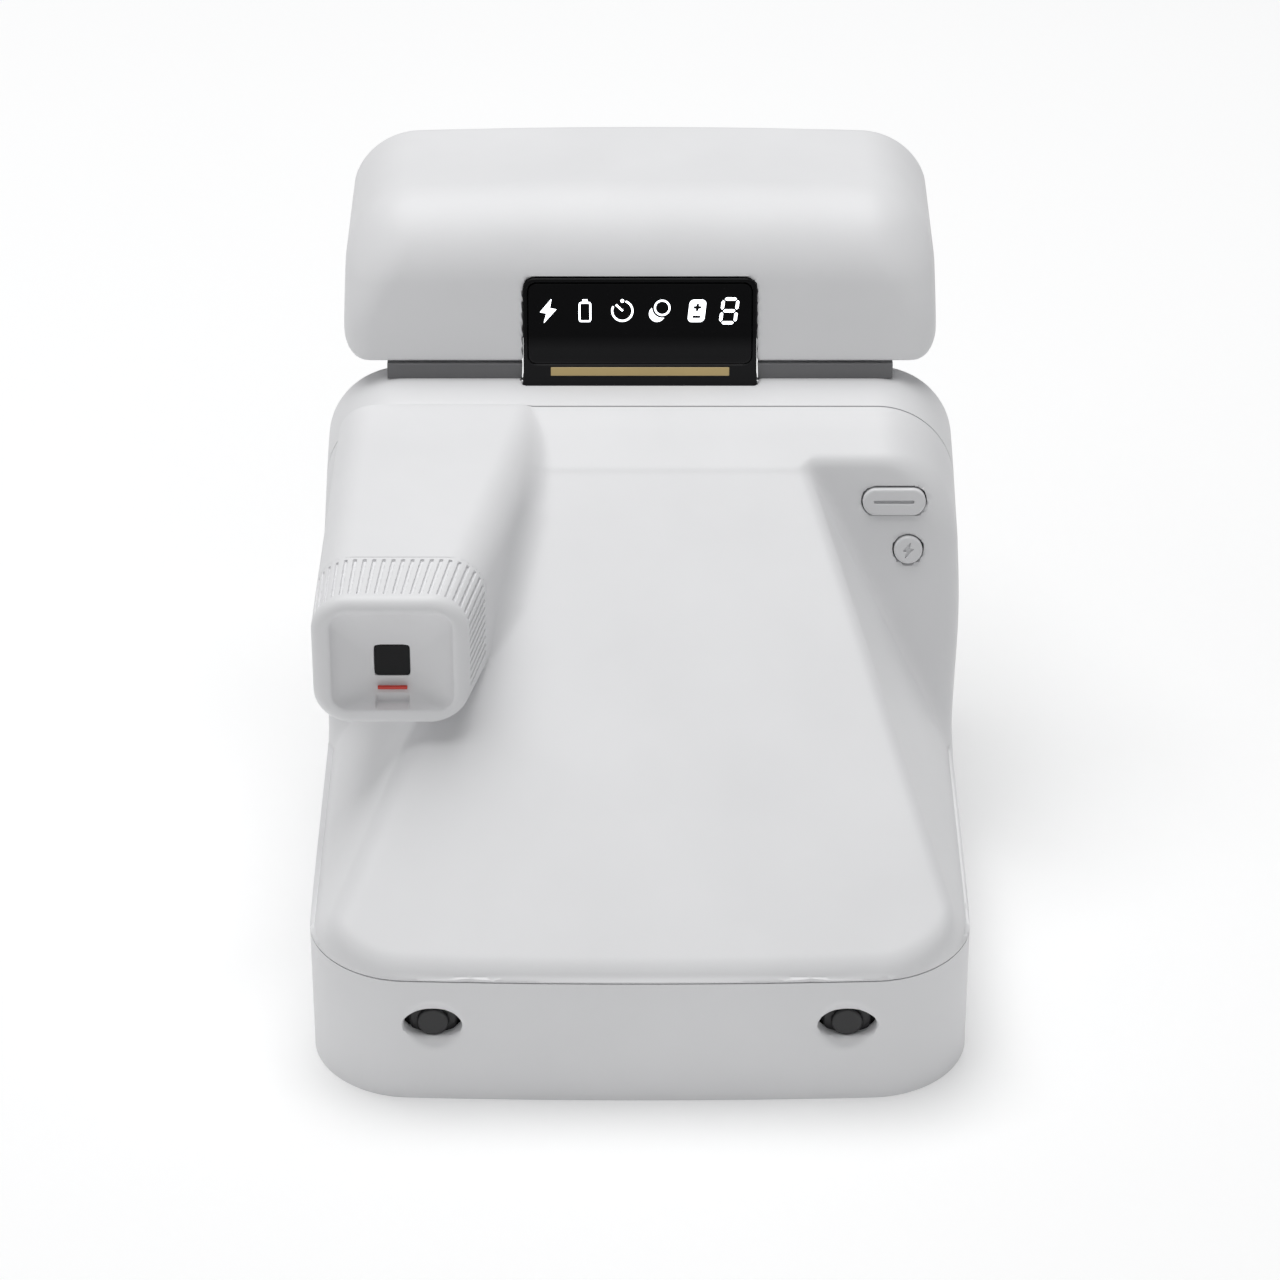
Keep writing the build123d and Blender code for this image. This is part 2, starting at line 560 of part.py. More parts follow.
def rear_button(at, cap_sketch, flange_sketch, name):
    """Button that stands 0.7 mm proud of the sloping wall and is kept in by a flange."""
    with BuildPart() as button:
        with BuildSketch(button_plane.offset(-WALL - 0.3)):
            with Locations(at):
                add(cap_sketch)
        extrude(amount=WALL + 1.0)
        fillet(button.faces().sort_by(Axis.Y)[0].edges(), 0.3)
        with BuildSketch(button_plane.offset(-WALL - 0.3 - FLANGE_T)):
            with Locations(at):
                add(flange_sketch)
        extrude(amount=FLANGE_T)
        with BuildSketch(button_plane.offset(-BOARD_DEPTH + SWITCH_T + KEY_TRAVEL + 0.3)):
            with Locations(at):
                Circle(1.2)
        extrude(amount=BOARD_DEPTH - SWITCH_T - KEY_TRAVEL - 0.5 - WALL)
    save(button, name)


with BuildSketch() as oblong_cap:
    SlotOverall(11.1, 5.0)
with BuildSketch() as oblong_flange:
    SlotOverall(12.9, 6.4)
with BuildSketch() as round_cap:
    Circle(2.55)
with BuildSketch() as round_flange:
    Circle(3.2)
rear_button((0, 0), oblong_cap.sketch, oblong_flange.sketch, "power_button")
rear_button(ROUND_BUTTON_AT, round_cap.sketch, round_flange.sketch, "flash_button")

POST_SPOTS = [(-6.0, -9.0), (6.2, 4.2)]
with BuildPart() as button_board:
    with BuildSketch(button_plane.offset(-BOARD_DEPTH - 1.2)):
        with Locations((0, -4.0)):
            Rectangle(16, 19)
    extrude(amount=1.2)
    with BuildSketch(button_plane.offset(-BOARD_DEPTH)):
        with Locations((0, 0), ROUND_BUTTON_AT):
            Rectangle(4.5, 4.5)
    extrude(amount=SWITCH_T)
save(button_board, "button_board")

# rear housing: shell of the rear body with its button holes, board posts and finder opening
with BuildPart() as rear_housing:
    add(rear_body(0, SEAM_Z, TUNNEL_REAR_Y))
    add(rear_body(WALL, SEAM_Z - 1, TUNNEL_REAR_Y - 1), mode=Mode.SUBTRACT)
    split(bisect_by=Plane.XZ.offset(-SEAM_Y), keep=Keep.TOP)
    add(button_pocket(0.2, -WALL - 2, 2), mode=Mode.SUBTRACT)
    with BuildSketch(button_plane.offset(-BOARD_DEPTH)):
        with Locations(*POST_SPOTS):
            Circle(1.3)
    extrude(amount=BOARD_DEPTH - WALL + 0.5)
save(rear_housing, "rear_housing")

# viewfinder: ribbed eyecup with a square eyepiece, dark tube inside the tunnel
CUP_R = 6.5
CUP_EDGE_R = 2.0
FUNNEL_DEPTH, FUNNEL_FLOOR = 4.5, 1.2
EYEPIECE = 6.0
HOLLOW = 14.0
TUBE_WALL = 1.2
TUBE_REAR, TUBE_FRONT = CUP_REAR_Y + FUNNEL_DEPTH + FUNNEL_FLOOR + 0.3, FASCIA_REAR - 0.4
LENS_SIDE, LENS_T = 9.8, 2.0
cup_length = TUNNEL_REAR_Y - CUP_REAR_Y


def cup_outline(y):
    """Rounded section of the finder tunnel at y: it widens to the right and rises forward."""
    right = CUP_RIGHT_X + (y - CUP_REAR_Y) * tan(flare)
    top = CUP_HIGH_Z + (y - CUP_REAR_Y) * tan(tunnel_rise)
    with BuildSketch(Plane.XZ.offset(-y)) as section:
        with Locations(((CUP_LEFT_X + right) / 2, (CUP_LOW_Z + top) / 2)):
            RectangleRounded(right - CUP_LEFT_X, top - CUP_LOW_Z, CUP_R)
    return section.sketch


cup_sections = [cup_outline(CUP_REAR_Y), cup_outline(TUNNEL_REAR_Y)]
cup_middle = ((CUP_LEFT_X + CUP_RIGHT_X) / 2, (CUP_LOW_Z + CUP_HIGH_Z) / 2)
with BuildPart() as eyecup:
    loft(cup_sections)
    fillet(eyecup.faces().sort_by(Axis.Y)[0].edges(), CUP_EDGE_R)
    # funnel narrowing towards the eyepiece
    with BuildSketch(Plane.XZ.offset(-CUP_REAR_Y)):
        with Locations(cup_middle):
            RectangleRounded(21.6, 18.4, 4.0)
    with BuildSketch(Plane.XZ.offset(-CUP_REAR_Y - FUNNEL_DEPTH)):
        with Locations((FINDER_X, FINDER_REAR_Z)):
            RectangleRounded(13.0, 11.0, 1.5)
    loft(mode=Mode.SUBTRACT)
    eye = EYEPIECE / 2
    low = (FINDER_X - eye, CUP_REAR_Y, FINDER_REAR_Z - eye)
    box_between(low, (FINDER_X + eye, 0, FINDER_REAR_Z + eye), Mode.SUBTRACT)
    # hollow for the eyepiece lens and the end of the tube
    low = (FINDER_X - HOLLOW / 2, TUBE_REAR - 0.3, FINDER_REAR_Z - HOLLOW / 2)
    box_between(low, (FINDER_X + HOLLOW / 2, 0, FINDER_REAR_Z + HOLLOW / 2), Mode.SUBTRACT)
    # its lower edge rests on the hump
    add(hump(0, SEAM_Z, 0), mode=Mode.SUBTRACT)
save(eyecup, "eyecup")

with BuildPart() as finder_tube:
    for wall, mode in ((0, Mode.ADD), (TUBE_WALL, Mode.SUBTRACT)):
        with BuildSketch(Plane.XZ.offset(-TUBE_REAR)):
            with Locations((FINDER_X, FINDER_REAR_Z)):
                RectangleRounded(12.6 - 2 * wall, 12.6 - 2 * wall, 1.3 - wall / 2)
        with BuildSketch(Plane.XZ.offset(-TUBE_FRONT)):
            with Locations((FINDER_X, FINDER_FRONT_Z)):
                RectangleRounded(16.0 - 2 * wall, 14.0 - 2 * wall, 1.3 - wall / 2)
        loft(mode=mode)
save(finder_tube, "finder_tube")

with BuildPart() as eyepiece_lens:
    low = (FINDER_X - LENS_SIDE / 2, TUBE_REAR + 0.2, FINDER_REAR_Z - LENS_SIDE / 2)
    box_between(low, (FINDER_X + LENS_SIDE / 2, TUBE_REAR + 0.2 + LENS_T, FINDER_REAR_Z + LENS_SIDE / 2))
    fillet(eyepiece_lens.edges().filter_by(Axis.Y), 1.0)
save(eyepiece_lens, "eyepiece_lens")

# =====================  film door, rollers and drive  =====================
SLOT_LOW, SLOT_HIGH, SLOT_X = 18.6, 23.6, 45.0
ROLLER_Y, NIP_Z = 52.0, 21.1
GEAR_MODULE = 0.8
ROLLER_TEETH, IDLER_TEETH, MOTOR_TEETH = 10, 14, 12
ROLLER_REACH = ROLLER_TEETH * GEAR_MODULE / 2
UPPER_Z, LOWER_Z = NIP_Z + ROLLER_REACH, NIP_Z - ROLLER_REACH
ROLLER_R, JOURNAL_R = ROLLER_REACH - 0.15, 1.5
GEAR_X0, GEAR_X1 = -51.2, -49.6
PLATE_X, PLATE_T = 46.6, 1.2

with BuildPart() as film_door:
    add(tray_block(0, 0, DOOR_TOP))
    add(tray_block(WALL, FLOOR, DOOR_TOP + 1), mode=Mode.SUBTRACT)
    split(bisect_by=Plane.XZ.offset(-DOOR_Y), keep=Keep.BOTTOM)
    # the lower rear edge is round about the pivot and gives way to the two tray lugs
    box_between((-60, DOOR_Y - 1, -1), (60, DOOR_PIVOT[0], DOOR_PIVOT[1]), Mode.SUBTRACT)
    rod_x(-48.5, 48.5, *DOOR_PIVOT, DOOR_PIVOT[1])
    box_between((-48.5, DOOR_PIVOT[0], 0.6), (48.5, DOOR_PIVOT[0] + 2.5, 2 * DOOR_PIVOT[1]))
    for side in (-1, 1):
        middle = side * 44.0
        box_between((middle - 3.3, DOOR_Y - 1, -1), (middle + 3.3, DOOR_PIVOT[0] + 2.3, 5), Mode.SUBTRACT)
    rod_x(-49, 49, *DOOR_PIVOT, 0.78, Mode.SUBTRACT)
    low = (-SLOT_X, half_length - WALL - 1, SLOT_LOW)
    box_between(low, (SLOT_X, half_length + 1, SLOT_HIGH), Mode.SUBTRACT)
    # tab that the latch holds
    box_between((51.3, DOOR_Y + 0.3, 26.0), (half_width - WALL + 0.1, DOOR_Y + 2.7, 28.2))
save(film_door, "film_door")

with BuildPart() as door_pins:
    for side in (-1, 1):
        ends = sorted((side * 40.2, side * 48.0))
        rod_x(ends[0], ends[1], *DOOR_PIVOT, 0.75)
save(door_pins, "door_pins")

with BuildPart() as roller_frame:
    box_between((-43.0, ROLLER_Y - 3, FLOOR), (43.0, ROLLER_Y + 4.5, FLOOR + 2))
    box_between((-PLATE_X - PLATE_T, ROLLER_Y - 3, FLOOR + 1), (PLATE_X + PLATE_T, ROLLER_Y + 3, FLOOR + 2))
    for side in (-1, 1):
        ends = sorted((side * PLATE_X, side * (PLATE_X + PLATE_T)))
        box_between((ends[0], ROLLER_Y - 3, FLOOR + 1), (ends[1], ROLLER_Y + 3, UPPER_Z + 3.5))
    for z in (LOWER_Z, UPPER_Z):
        rod_x(-60, 60, ROLLER_Y, z, JOURNAL_R + 0.05, Mode.SUBTRACT)
save(roller_frame, "roller_frame")

# gear train from the motor to the rollers; each entry is axis, teeth and tooth phase
idler_b_reach = (ROLLER_TEETH + IDLER_TEETH) * GEAR_MODULE / 2
idler_a_reach = IDLER_TEETH * GEAR_MODULE
motor_reach = (IDLER_TEETH + MOTOR_TEETH) * GEAR_MODULE / 2
ANGLE_B, ANGLE_A, ANGLE_M = radians(156), radians(172), radians(149)
MESH_SLACK = 0.04


def step_from(axis, reach, angle):
    """Axis that lies at a given reach and angle from another, seen along +X."""
    return (axis[0] + (reach + MESH_SLACK) * cos(angle), axis[1] + (reach + MESH_SLACK) * sin(angle))


upper_axis = (ROLLER_Y, UPPER_Z)
lower_axis = (ROLLER_Y, LOWER_Z)
idler_b_axis = step_from(upper_axis, idler_b_reach, ANGLE_B)
idler_a_axis = step_from(idler_b_axis, idler_a_reach, ANGLE_A)
motor_axis = step_from(idler_a_axis, motor_reach, ANGLE_M)
upper_phase = 0.0
lower_phase = mate_phase(radians(-90), ROLLER_TEETH, upper_phase, ROLLER_TEETH, GEAR_MODULE)
idler_b_phase = mate_phase(ANGLE_B, ROLLER_TEETH, upper_phase, IDLER_TEETH, GEAR_MODULE)
idler_a_phase = mate_phase(ANGLE_A, IDLER_TEETH, idler_b_phase, IDLER_TEETH, GEAR_MODULE)
motor_phase = mate_phase(ANGLE_M, IDLER_TEETH, idler_a_phase, MOTOR_TEETH, GEAR_MODULE)


def gear_disc(axis, teeth, phase):
    """Toothed disc in the gear plane beside the film chamber, added to the open part."""
    with BuildSketch(Plane(origin=(GEAR_X0, *axis), x_dir=(0, 1, 0), z_dir=(1, 0, 0))) as outline:
        add(gear_sketch(teeth, GEAR_MODULE, phase))
    extrude(outline.sketch, amount=GEAR_X1 - GEAR_X0)


rollers = (("upper_roller", upper_axis, upper_phase), ("lower_roller", lower_axis, lower_phase))
for name, axis, phase in rollers:
    with BuildPart() as roller:
        rod_x(-44.6, 44.6, *axis, ROLLER_R)
        rod_x(GEAR_X0, 49.0, *axis, JOURNAL_R)
        gear_disc(axis, ROLLER_TEETH, phase)
    save(roller, name)

idlers = (
    ("idler_gear_front", idler_b_axis, idler_b_phase),
    ("idler_gear_rear", idler_a_axis, idler_a_phase),
)
for name, axis, phase in idlers:
    with BuildPart() as idler:
        gear_disc(axis, IDLER_TEETH, phase)
        rod_x(GEAR_X0 - 1, GEAR_X1 + 1, *axis, 1.05, Mode.SUBTRACT)
    save(idler, name)

with BuildPart() as motor_pinion:
    gear_disc(motor_axis, MOTOR_TEETH, motor_phase)
    rod_x(GEAR_X0, -44.0, *motor_axis, 1.0)
save(motor_pinion, "motor_pinion")

MOTOR_R = 8.0
with BuildPart() as film_motor:
    rod_x(-46.0, -23.5, *motor_axis, MOTOR_R)
    rod_x(-47.5, -46.0, *motor_axis, 3.0)
    rod_x(-48, -43, *motor_axis, 1.06, Mode.SUBTRACT)
save(film_motor, "film_motor")

# side plate that carries the idlers and the motor
with BuildPart() as gear_plate:
    with BuildSketch(Plane.YZ.offset(-49.2)):
        with BuildLine():
            corners = [(14, 22.6), (46.5, 22.6), (46.5, 33.5), (33.5, 34.2), (33.5, 43.5), (14, 43.5)]
            Polyline(*corners, close=True)
        make_face()
        with Locations(motor_axis):
            Circle(3.1, mode=Mode.SUBTRACT)
    extrude(amount=1.2)
    for axis in (idler_a_axis, idler_b_axis):
        rod_x(GEAR_X0 - 0.4, -49.0, *axis, 1.0)
save(gear_plate, "gear_plate")

with BuildPart() as door_latch:
    box_between((51.3, 30.4, 28.6), (half_width - WALL - 0.3, 46.6, 33.4))
    box_between((half_width - WALL - 0.4, 31.5, 30.0), (half_width + 0.9, 36.5, 35.0))
    fillet(door_latch.faces().sort_by(Axis.X)[-1].edges(), 0.5)
save(door_latch, "door_latch")

# =====================  flip lid, drawn open  =====================
LID_X = 52.5
LID_BOTTOM, LID_TOP = 86.0, 111.9
LID_REAR, LID_FRONT = 34.8, 77.0
LID_BACK = (38.8, 100.5)
LID_WALL = 2.2
LID_CORNER = (52.5, 41.9, 111.9)      # where the side, rear and top of the lid would meet
LID_CORNER_CUT = 8.0
panel_lean = atan2(LID_BACK[0] - LID_REAR, LID_BACK[1] - LID_BOTTOM)


def lid_form(inset, bottom):
    """Outer shape of the open lid, drawn in by inset, open below."""
    top = LID_TOP - inset
    with BuildPart() as form:
        with BuildSketch(Plane.YZ.offset(-LID_X + inset)):
            rear = LID_REAR + inset / cos(panel_lean) + (bottom - LID_BOTTOM) * tan(panel_lean)
            knee = (LID_BACK[0] + inset, LID_BACK[1] - inset * 0.2)
            with BuildLine():
                Line((rear, bottom), knee)
                Spline(knee, (50.5, top), tangents=((sin(panel_lean), cos(panel_lean)), (1, 0)))
                Polyline((50.5, top), (LID_FRONT - inset, top), (LID_FRONT - inset, bottom), (rear, bottom))
            make_face()
        extrude(amount=2 * (LID_X - inset))
        with BuildSketch(Plane.XZ.offset(-LID_FRONT)) as section:
            with Locations((0, (bottom - 20 + top) / 2)):
                Rectangle(2 * (LID_X - inset), top - bottom + 20)
            fillet(section.vertices().group_by(Axis.Y)[-1], 17.0 - inset)
        extrude(amount=LID_FRONT, mode=Mode.INTERSECT)
        with BuildSketch(Plane.XY.offset(bottom)) as plan:
            with Locations((0, (LID_REAR + LID_FRONT) / 2)):
                Rectangle(2 * (LID_X - inset), LID_FRONT - LID_REAR)
            fillet(plan.vertices(), 5.0)
        extrude(amount=30, mode=Mode.INTERSECT)
        for side in (-1, 1):
            corner = Plane(origin=(side * LID_CORNER[0], *LID_CORNER[1:]), z_dir=(side, -1, 1))
            split(bisect_by=corner.offset(-LID_CORNER_CUT - inset), keep=Keep.BOTTOM)
    return form.part


# the black panel lies in the rear wall of the lid and ends in the hinge barrel
PANEL_X, PANEL_PROUD, PANEL_R = 20.5, 0.3, 2.0
WINDOW_LOW, WINDOW_HIGH = 3.4, 15.0      # along the panel from the lower edge of the lid
BARREL_R = 2.1
STRIPE_LOW, STRIPE_HIGH = -2.6, -1.1
panel_plane = Plane(
    origin=(0, LID_REAR, LID_BOTTOM),
    x_dir=(1, 0, 0),
    z_dir=(0, -cos(panel_lean), sin(panel_lean)),
)
# flash trough, seen along X: mouth at the front face, back towards the hinge
FLASH_X = 19.0
FLASH_MOUTH_Y, FLASH_BACK_Y = 74.6, 64.0
FLASH_MOUTH_Z, FLASH_BACK_Z = (96.4, 108.2), (100.2, 105.8)


TUBE_AT = (FLASH_BACK_Y + 3.0, (FLASH_BACK_Z[0] + FLASH_BACK_Z[1]) / 2)


def panel_block(half, low, high, depth, proud):
    """Plate in the panel's plane, from depth below the lid's rear face to proud above it."""
    with BuildPart() as form:
        with BuildSketch(panel_plane.offset(-depth)):
            with Locations((0, (low + high) / 2)):
                Rectangle(2 * half, high - low)
        extrude(amount=depth + proud)
    return form.part


def trough(grow, front):
    """Trapezoid block of the flash, grown on every side, up to front."""
    with BuildPart() as form:
        with BuildSketch(Plane.YZ.offset(-FLASH_X - grow)):
            with BuildLine():
                Polyline(
                    (front, FLASH_MOUTH_Z[0] - grow),
                    (FLASH_MOUTH_Y - 1, FLASH_MOUTH_Z[0] - grow),
                    (FLASH_BACK_Y - grow, FLASH_BACK_Z[0] - grow),
                    (FLASH_BACK_Y - grow, FLASH_BACK_Z[1] + grow),
                    (FLASH_MOUTH_Y - 1, FLASH_MOUTH_Z[1] + grow),
                    (front, FLASH_MOUTH_Z[1] + grow),
                    close=True,
                )
            make_face()
        extrude(amount=2 * (FLASH_X + grow))
    return form.part


with BuildPart() as lid_shell:
    add(lid_form(0, LID_BOTTOM))
    add(lid_form(LID_WALL, LID_BOTTOM - 1), mode=Mode.SUBTRACT)
    add(panel_block(PANEL_X + 0.1, -2, WINDOW_HIGH + 0.1, LID_WALL + 1.5, 3), mode=Mode.SUBTRACT)
    flash_low = (-FLASH_X - 0.6, LID_FRONT - LID_WALL - 1, FLASH_MOUTH_Z[0] - 0.2)
    box_between(flash_low, (FLASH_X + 0.6, LID_FRONT + 1, FLASH_MOUTH_Z[1] - 0.4), Mode.SUBTRACT)
save(lid_shell, "lid_shell")

with BuildPart() as display_window:
    add(panel_block(PANEL_X, WINDOW_LOW, WINDOW_HIGH, 1.0, PANEL_PROUD))
    upper = display_window.faces().sort_by(Axis.Z)[-1]
    fillet([edge for edge in upper.edges() if abs(edge.tangent_at(0.5).X) < 0.1], PANEL_R)
save(display_window, "display_window")

with BuildPart() as display_board:
    add(panel_block(PANEL_X - 1.0, WINDOW_LOW + 0.6, WINDOW_HIGH - 1.0, 2.0, -1.0))
save(display_board, "display_board")

hinge_s = -(HINGE_Y - LID_REAR) * sin(panel_lean) - (LID_BOTTOM - HINGE_Z) * cos(panel_lean)
with BuildPart() as hinge_cover:
    rod_x(-PANEL_X, PANEL_X, HINGE_Y, HINGE_Z, BARREL_R)
    add(panel_block(PANEL_X, hinge_s * 0.9, WINDOW_LOW, 2.0, PANEL_PROUD))
    # arms that reach up inside the lid
    add(panel_block(PANEL_X, 0.8, WINDOW_LOW, 3.4, -1.0))
    rod_x(-PANEL_X - 1, PANEL_X + 1, HINGE_Y, HINGE_Z, PIN_R + 0.04, Mode.SUBTRACT)
    add(panel_block(16.0, STRIPE_LOW, STRIPE_HIGH, -PANEL_PROUD + 0.3, PANEL_PROUD + 1), mode=Mode.SUBTRACT)
save(hinge_cover, "hinge_cover")

with BuildPart() as colour_stripe:
    add(panel_block(15.9, STRIPE_LOW + 0.05, STRIPE_HIGH - 0.05, -PANEL_PROUD + 0.3, PANEL_PROUD - 0.05))
save(colour_stripe, "colour_stripe")

with BuildPart() as hinge_pin:
    rod_x(-PIN_X, PIN_X, HINGE_Y, HINGE_Z, PIN_R)
save(hinge_pin, "hinge_pin")

LINER_T = 1.0
with BuildPart() as lid_liner:
    add(lid_form(LID_WALL + 0.1, LID_BOTTOM + 1.0))
    add(lid_form(LID_WALL + 0.1 + LINER_T, LID_BOTTOM), mode=Mode.SUBTRACT)
    add(trough(1.0, LID_FRONT - LID_WALL - 0.1))
    add(trough(0.2, LID_FRONT), mode=Mode.SUBTRACT)
    add(panel_block(PANEL_X + 0.3, -2, WINDOW_LOW + 0.4, LID_WALL + 1.6, 1), mode=Mode.SUBTRACT)
save(lid_liner, "lid_liner")

with BuildPart() as flash_reflector:
    add(trough(0.1, FLASH_MOUTH_Y))
    add(trough(-0.5, FLASH_MOUTH_Y + 1), mode=Mode.SUBTRACT)
    rod_x(-60, 60, *TUBE_AT, 1.65, Mode.SUBTRACT)
save(flash_reflector, "flash_reflector")

with BuildPart() as flash_tube:
    rod_x(-FLASH_X - 0.1, FLASH_X + 0.1, *TUBE_AT, 1.6)
save(flash_tube, "flash_tube")

with BuildPart() as flash_window:
    low = (-FLASH_X - 0.4, FLASH_MOUTH_Y + 0.1, FLASH_MOUTH_Z[0])
    box_between(low, (FLASH_X + 0.4, LID_FRONT - 0.3, FLASH_MOUTH_Z[1] - 0.6))
save(flash_window, "flash_window")
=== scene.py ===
import json
import math

import bmesh
import bpy
import numpy as np
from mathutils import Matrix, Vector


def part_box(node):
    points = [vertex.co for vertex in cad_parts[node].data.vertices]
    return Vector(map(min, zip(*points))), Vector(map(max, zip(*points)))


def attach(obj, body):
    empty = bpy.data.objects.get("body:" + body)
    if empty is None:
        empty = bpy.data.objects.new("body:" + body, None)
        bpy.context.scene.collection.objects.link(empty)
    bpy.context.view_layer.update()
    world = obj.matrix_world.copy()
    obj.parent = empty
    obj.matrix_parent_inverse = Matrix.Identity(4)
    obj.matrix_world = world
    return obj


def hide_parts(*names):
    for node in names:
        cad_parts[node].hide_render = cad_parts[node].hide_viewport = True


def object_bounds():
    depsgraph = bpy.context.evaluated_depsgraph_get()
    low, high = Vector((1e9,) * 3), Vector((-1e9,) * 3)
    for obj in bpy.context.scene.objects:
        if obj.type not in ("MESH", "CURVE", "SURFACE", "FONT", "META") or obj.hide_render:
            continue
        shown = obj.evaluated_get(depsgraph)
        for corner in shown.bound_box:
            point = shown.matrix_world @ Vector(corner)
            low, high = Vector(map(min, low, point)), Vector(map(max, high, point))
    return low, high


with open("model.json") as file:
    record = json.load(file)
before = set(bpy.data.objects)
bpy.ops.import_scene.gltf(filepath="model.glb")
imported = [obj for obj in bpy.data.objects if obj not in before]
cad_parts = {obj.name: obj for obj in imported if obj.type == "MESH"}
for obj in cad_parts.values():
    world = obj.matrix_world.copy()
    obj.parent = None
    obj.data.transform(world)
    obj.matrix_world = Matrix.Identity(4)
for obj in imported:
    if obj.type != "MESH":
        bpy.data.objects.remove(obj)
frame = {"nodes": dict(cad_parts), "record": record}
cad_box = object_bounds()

import openvdb
from mathutils import Matrix, Vector

MM = 0.001


def node_box(name):
    """Lowest and highest corner of a CAD node, in millimetres."""
    low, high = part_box(name)
    return low / MM, high / MM


# ---------------------------------------------------------------- sizes, mm
tray_low, tray_high = node_box("base_tray")
rear_low, rear_high = node_box("rear_housing")
door_low, door_high = node_box("film_door")
cup_low, cup_high = node_box("eyecup")
lid_low, lid_high = node_box("lid_shell")
panel_high = node_box("display_window")[1]
pin_low, pin_high = node_box("hinge_pin")
fascia_low, fascia_high = node_box("front_fascia")
eye_low, eye_high = node_box("eyepiece_lens")

HALF_WIDTH = tray_high.x
HALF_LENGTH = -tray_low.y
TRAY_TOP = tray_high.z
SEAM_Z = rear_low.z
SEAM_Y = rear_high.y
DOOR_Y = door_low.y
DOOR_TOP = door_high.z
FRONT_Y = 39.2                # front wall of the upper body
NOSE_Z = 39.5                 # shelf below the lid
WALL = 1.8
HINGE = ((pin_low.y + pin_high.y) / 2, (pin_low.z + pin_high.z) / 2)
EYE = ((eye_low.x + eye_high.x) / 2, (eye_low.z + eye_high.z) / 2)

CORNER_R = 16.0
BASE_R, BASE_REAR_R = 8.0, 13.5
BOW = 1.6                     # how much less the rear stands out at its corners
RIDGE = (17.0, 76.0)          # Y and Z of the top edge of the slope
RIM = 1.3                     # height of the slope above the tray seam at the rear
SLOPE_LEFT, SLOPE_RIGHT = -19.0, 28.7
SHOULDER_Z, CREST_Z = 81.6, 83.3
TOP_R = 14.0
BULGE, BULGE_Z = 0.85, 48.0   # how far the right side swells above the tray
WALL_LEAN = math.radians(13.0)
BUTTON_X, BUTTON_DROP = 44.3, 7.16
CUP_RIGHT, CUP_TOP, CUP_BASE = -28.9, 75.6, 51.4      # rear end of the finder tunnel
TUNNEL_FLARE = math.radians(13.6)
TUNNEL_R = 6.5
SIDE_TAPER = 0.03             # how fast the tunnel draws in towards the front
SWELL_REACH = 14.0            # height over which the swelling of the right side fades
WALL_EDGE, CORNER_EDGE = 1.2, 2.8      # rounding above the button wall, and its gain at the corner
CORNER_X, CORNER_RUN = 42.0, 12.0      # where that gain starts, and how far it takes
RIGHT_CREASE, LEFT_CREASE, FOOT_EDGE = 2.0, 3.0, 3.0      # softness of the edges of the hump
HUMP_JOIN = 2.0               # softness of the corner between hump and upper body
TUNNEL_JOIN = 5.0             # and of the one between hump and tunnel, at most
REAR_EASE_Y, REAR_EASE = -47.0, 10.0   # where the lower edge of the base grows rounder
SIDE_DRAW = 0.5               # how much narrower the plan is at its rear end
CREASE = 40.0                 # degrees between faces that are shaded as a sharp edge


# ---------------------------------------------------------------- distance fields
def round_max(a, b, radius):
    """Intersection of two solids whose common edge is a circular fillet."""
    over = np.sqrt(np.maximum(a + radius, 0) ** 2 + np.maximum(b + radius, 0) ** 2)
    return np.minimum(np.maximum(a, b), -radius) + over


def soft_max(a, b, width):
    """Intersection of two solids, blended over width."""
    near = np.maximum(width - np.abs(a - b), 0) / width
    return np.maximum(a, b) + near * near * width / 4


def soft_min(a, b, width):
    """Union of two solids, blended over width."""
    return -soft_max(-a, -b, width)


def half_space(x, y, z, origin, normal):
    """Distance beyond the plane through origin with that outward normal."""
    n = np.array(normal) / np.linalg.norm(normal)
    return (x - origin[0]) * n[0] + (y - origin[1]) * n[1] + (z - origin[2]) * n[2]


def rounded_rect(u, v, half_u, half_v, radius):
    """Distance to a rectangle with round corners, centred on the origin of u and v."""
    return round_max(np.abs(u) - half_u, np.abs(v) - half_v, radius)


def plate(w, outline, low, high, edge):
    """Plate between two heights whose outline field is given, with rounded edges."""
    return round_max(outline, np.abs(w - (low + high) / 2) - (high - low) / 2, edge)


def polygon(u, v, corners):
    """Distance to a polygon given by its corners."""
    distance = np.full(np.broadcast(u, v).shape, 1e6)
    inside = np.zeros(distance.shape, bool)
    for (ax, ay), (bx, by) in zip(corners, corners[1:] + corners[:1]):
        ex, ey = bx - ax, by - ay
        share = np.clip(((u - ax) * ex + (v - ay) * ey) / (ex * ex + ey * ey), 0, 1)
        distance = np.minimum(distance, np.hypot(u - ax - share * ex, v - ay - share * ey))
        crosses = (ay > v) != (by > v)
        level = ex * (v - ay) / (ey if ey else 1e-9) + ax
        inside ^= crosses & (u < level)
    return np.where(inside, -distance, distance)


# ---------------------------------------------------------------- camera body
slope_angle = math.atan2(RIDGE[1] - SEAM_Z - RIM, RIDGE[0] + HALF_LENGTH)
facet_run = RIDGE[1] - SEAM_Z
shoulder_angle = math.atan2(SHOULDER_Z - RIDGE[1], SEAM_Y - RIDGE[0])
crest_angle = math.atan2(CREST_Z - SHOULDER_Z, FRONT_Y - 1 - SEAM_Y)
tunnel_rise = math.atan2(SHOULDER_Z - CUP_TOP, SEAM_Y - cup_low.y)
BUTTON_AT = (BUTTON_X, RIDGE[0] - BUTTON_DROP * math.tan(WALL_LEAN), RIDGE[1] - BUTTON_DROP)
WALL_OUT = (0, -math.cos(WALL_LEAN), math.sin(WALL_LEAN))


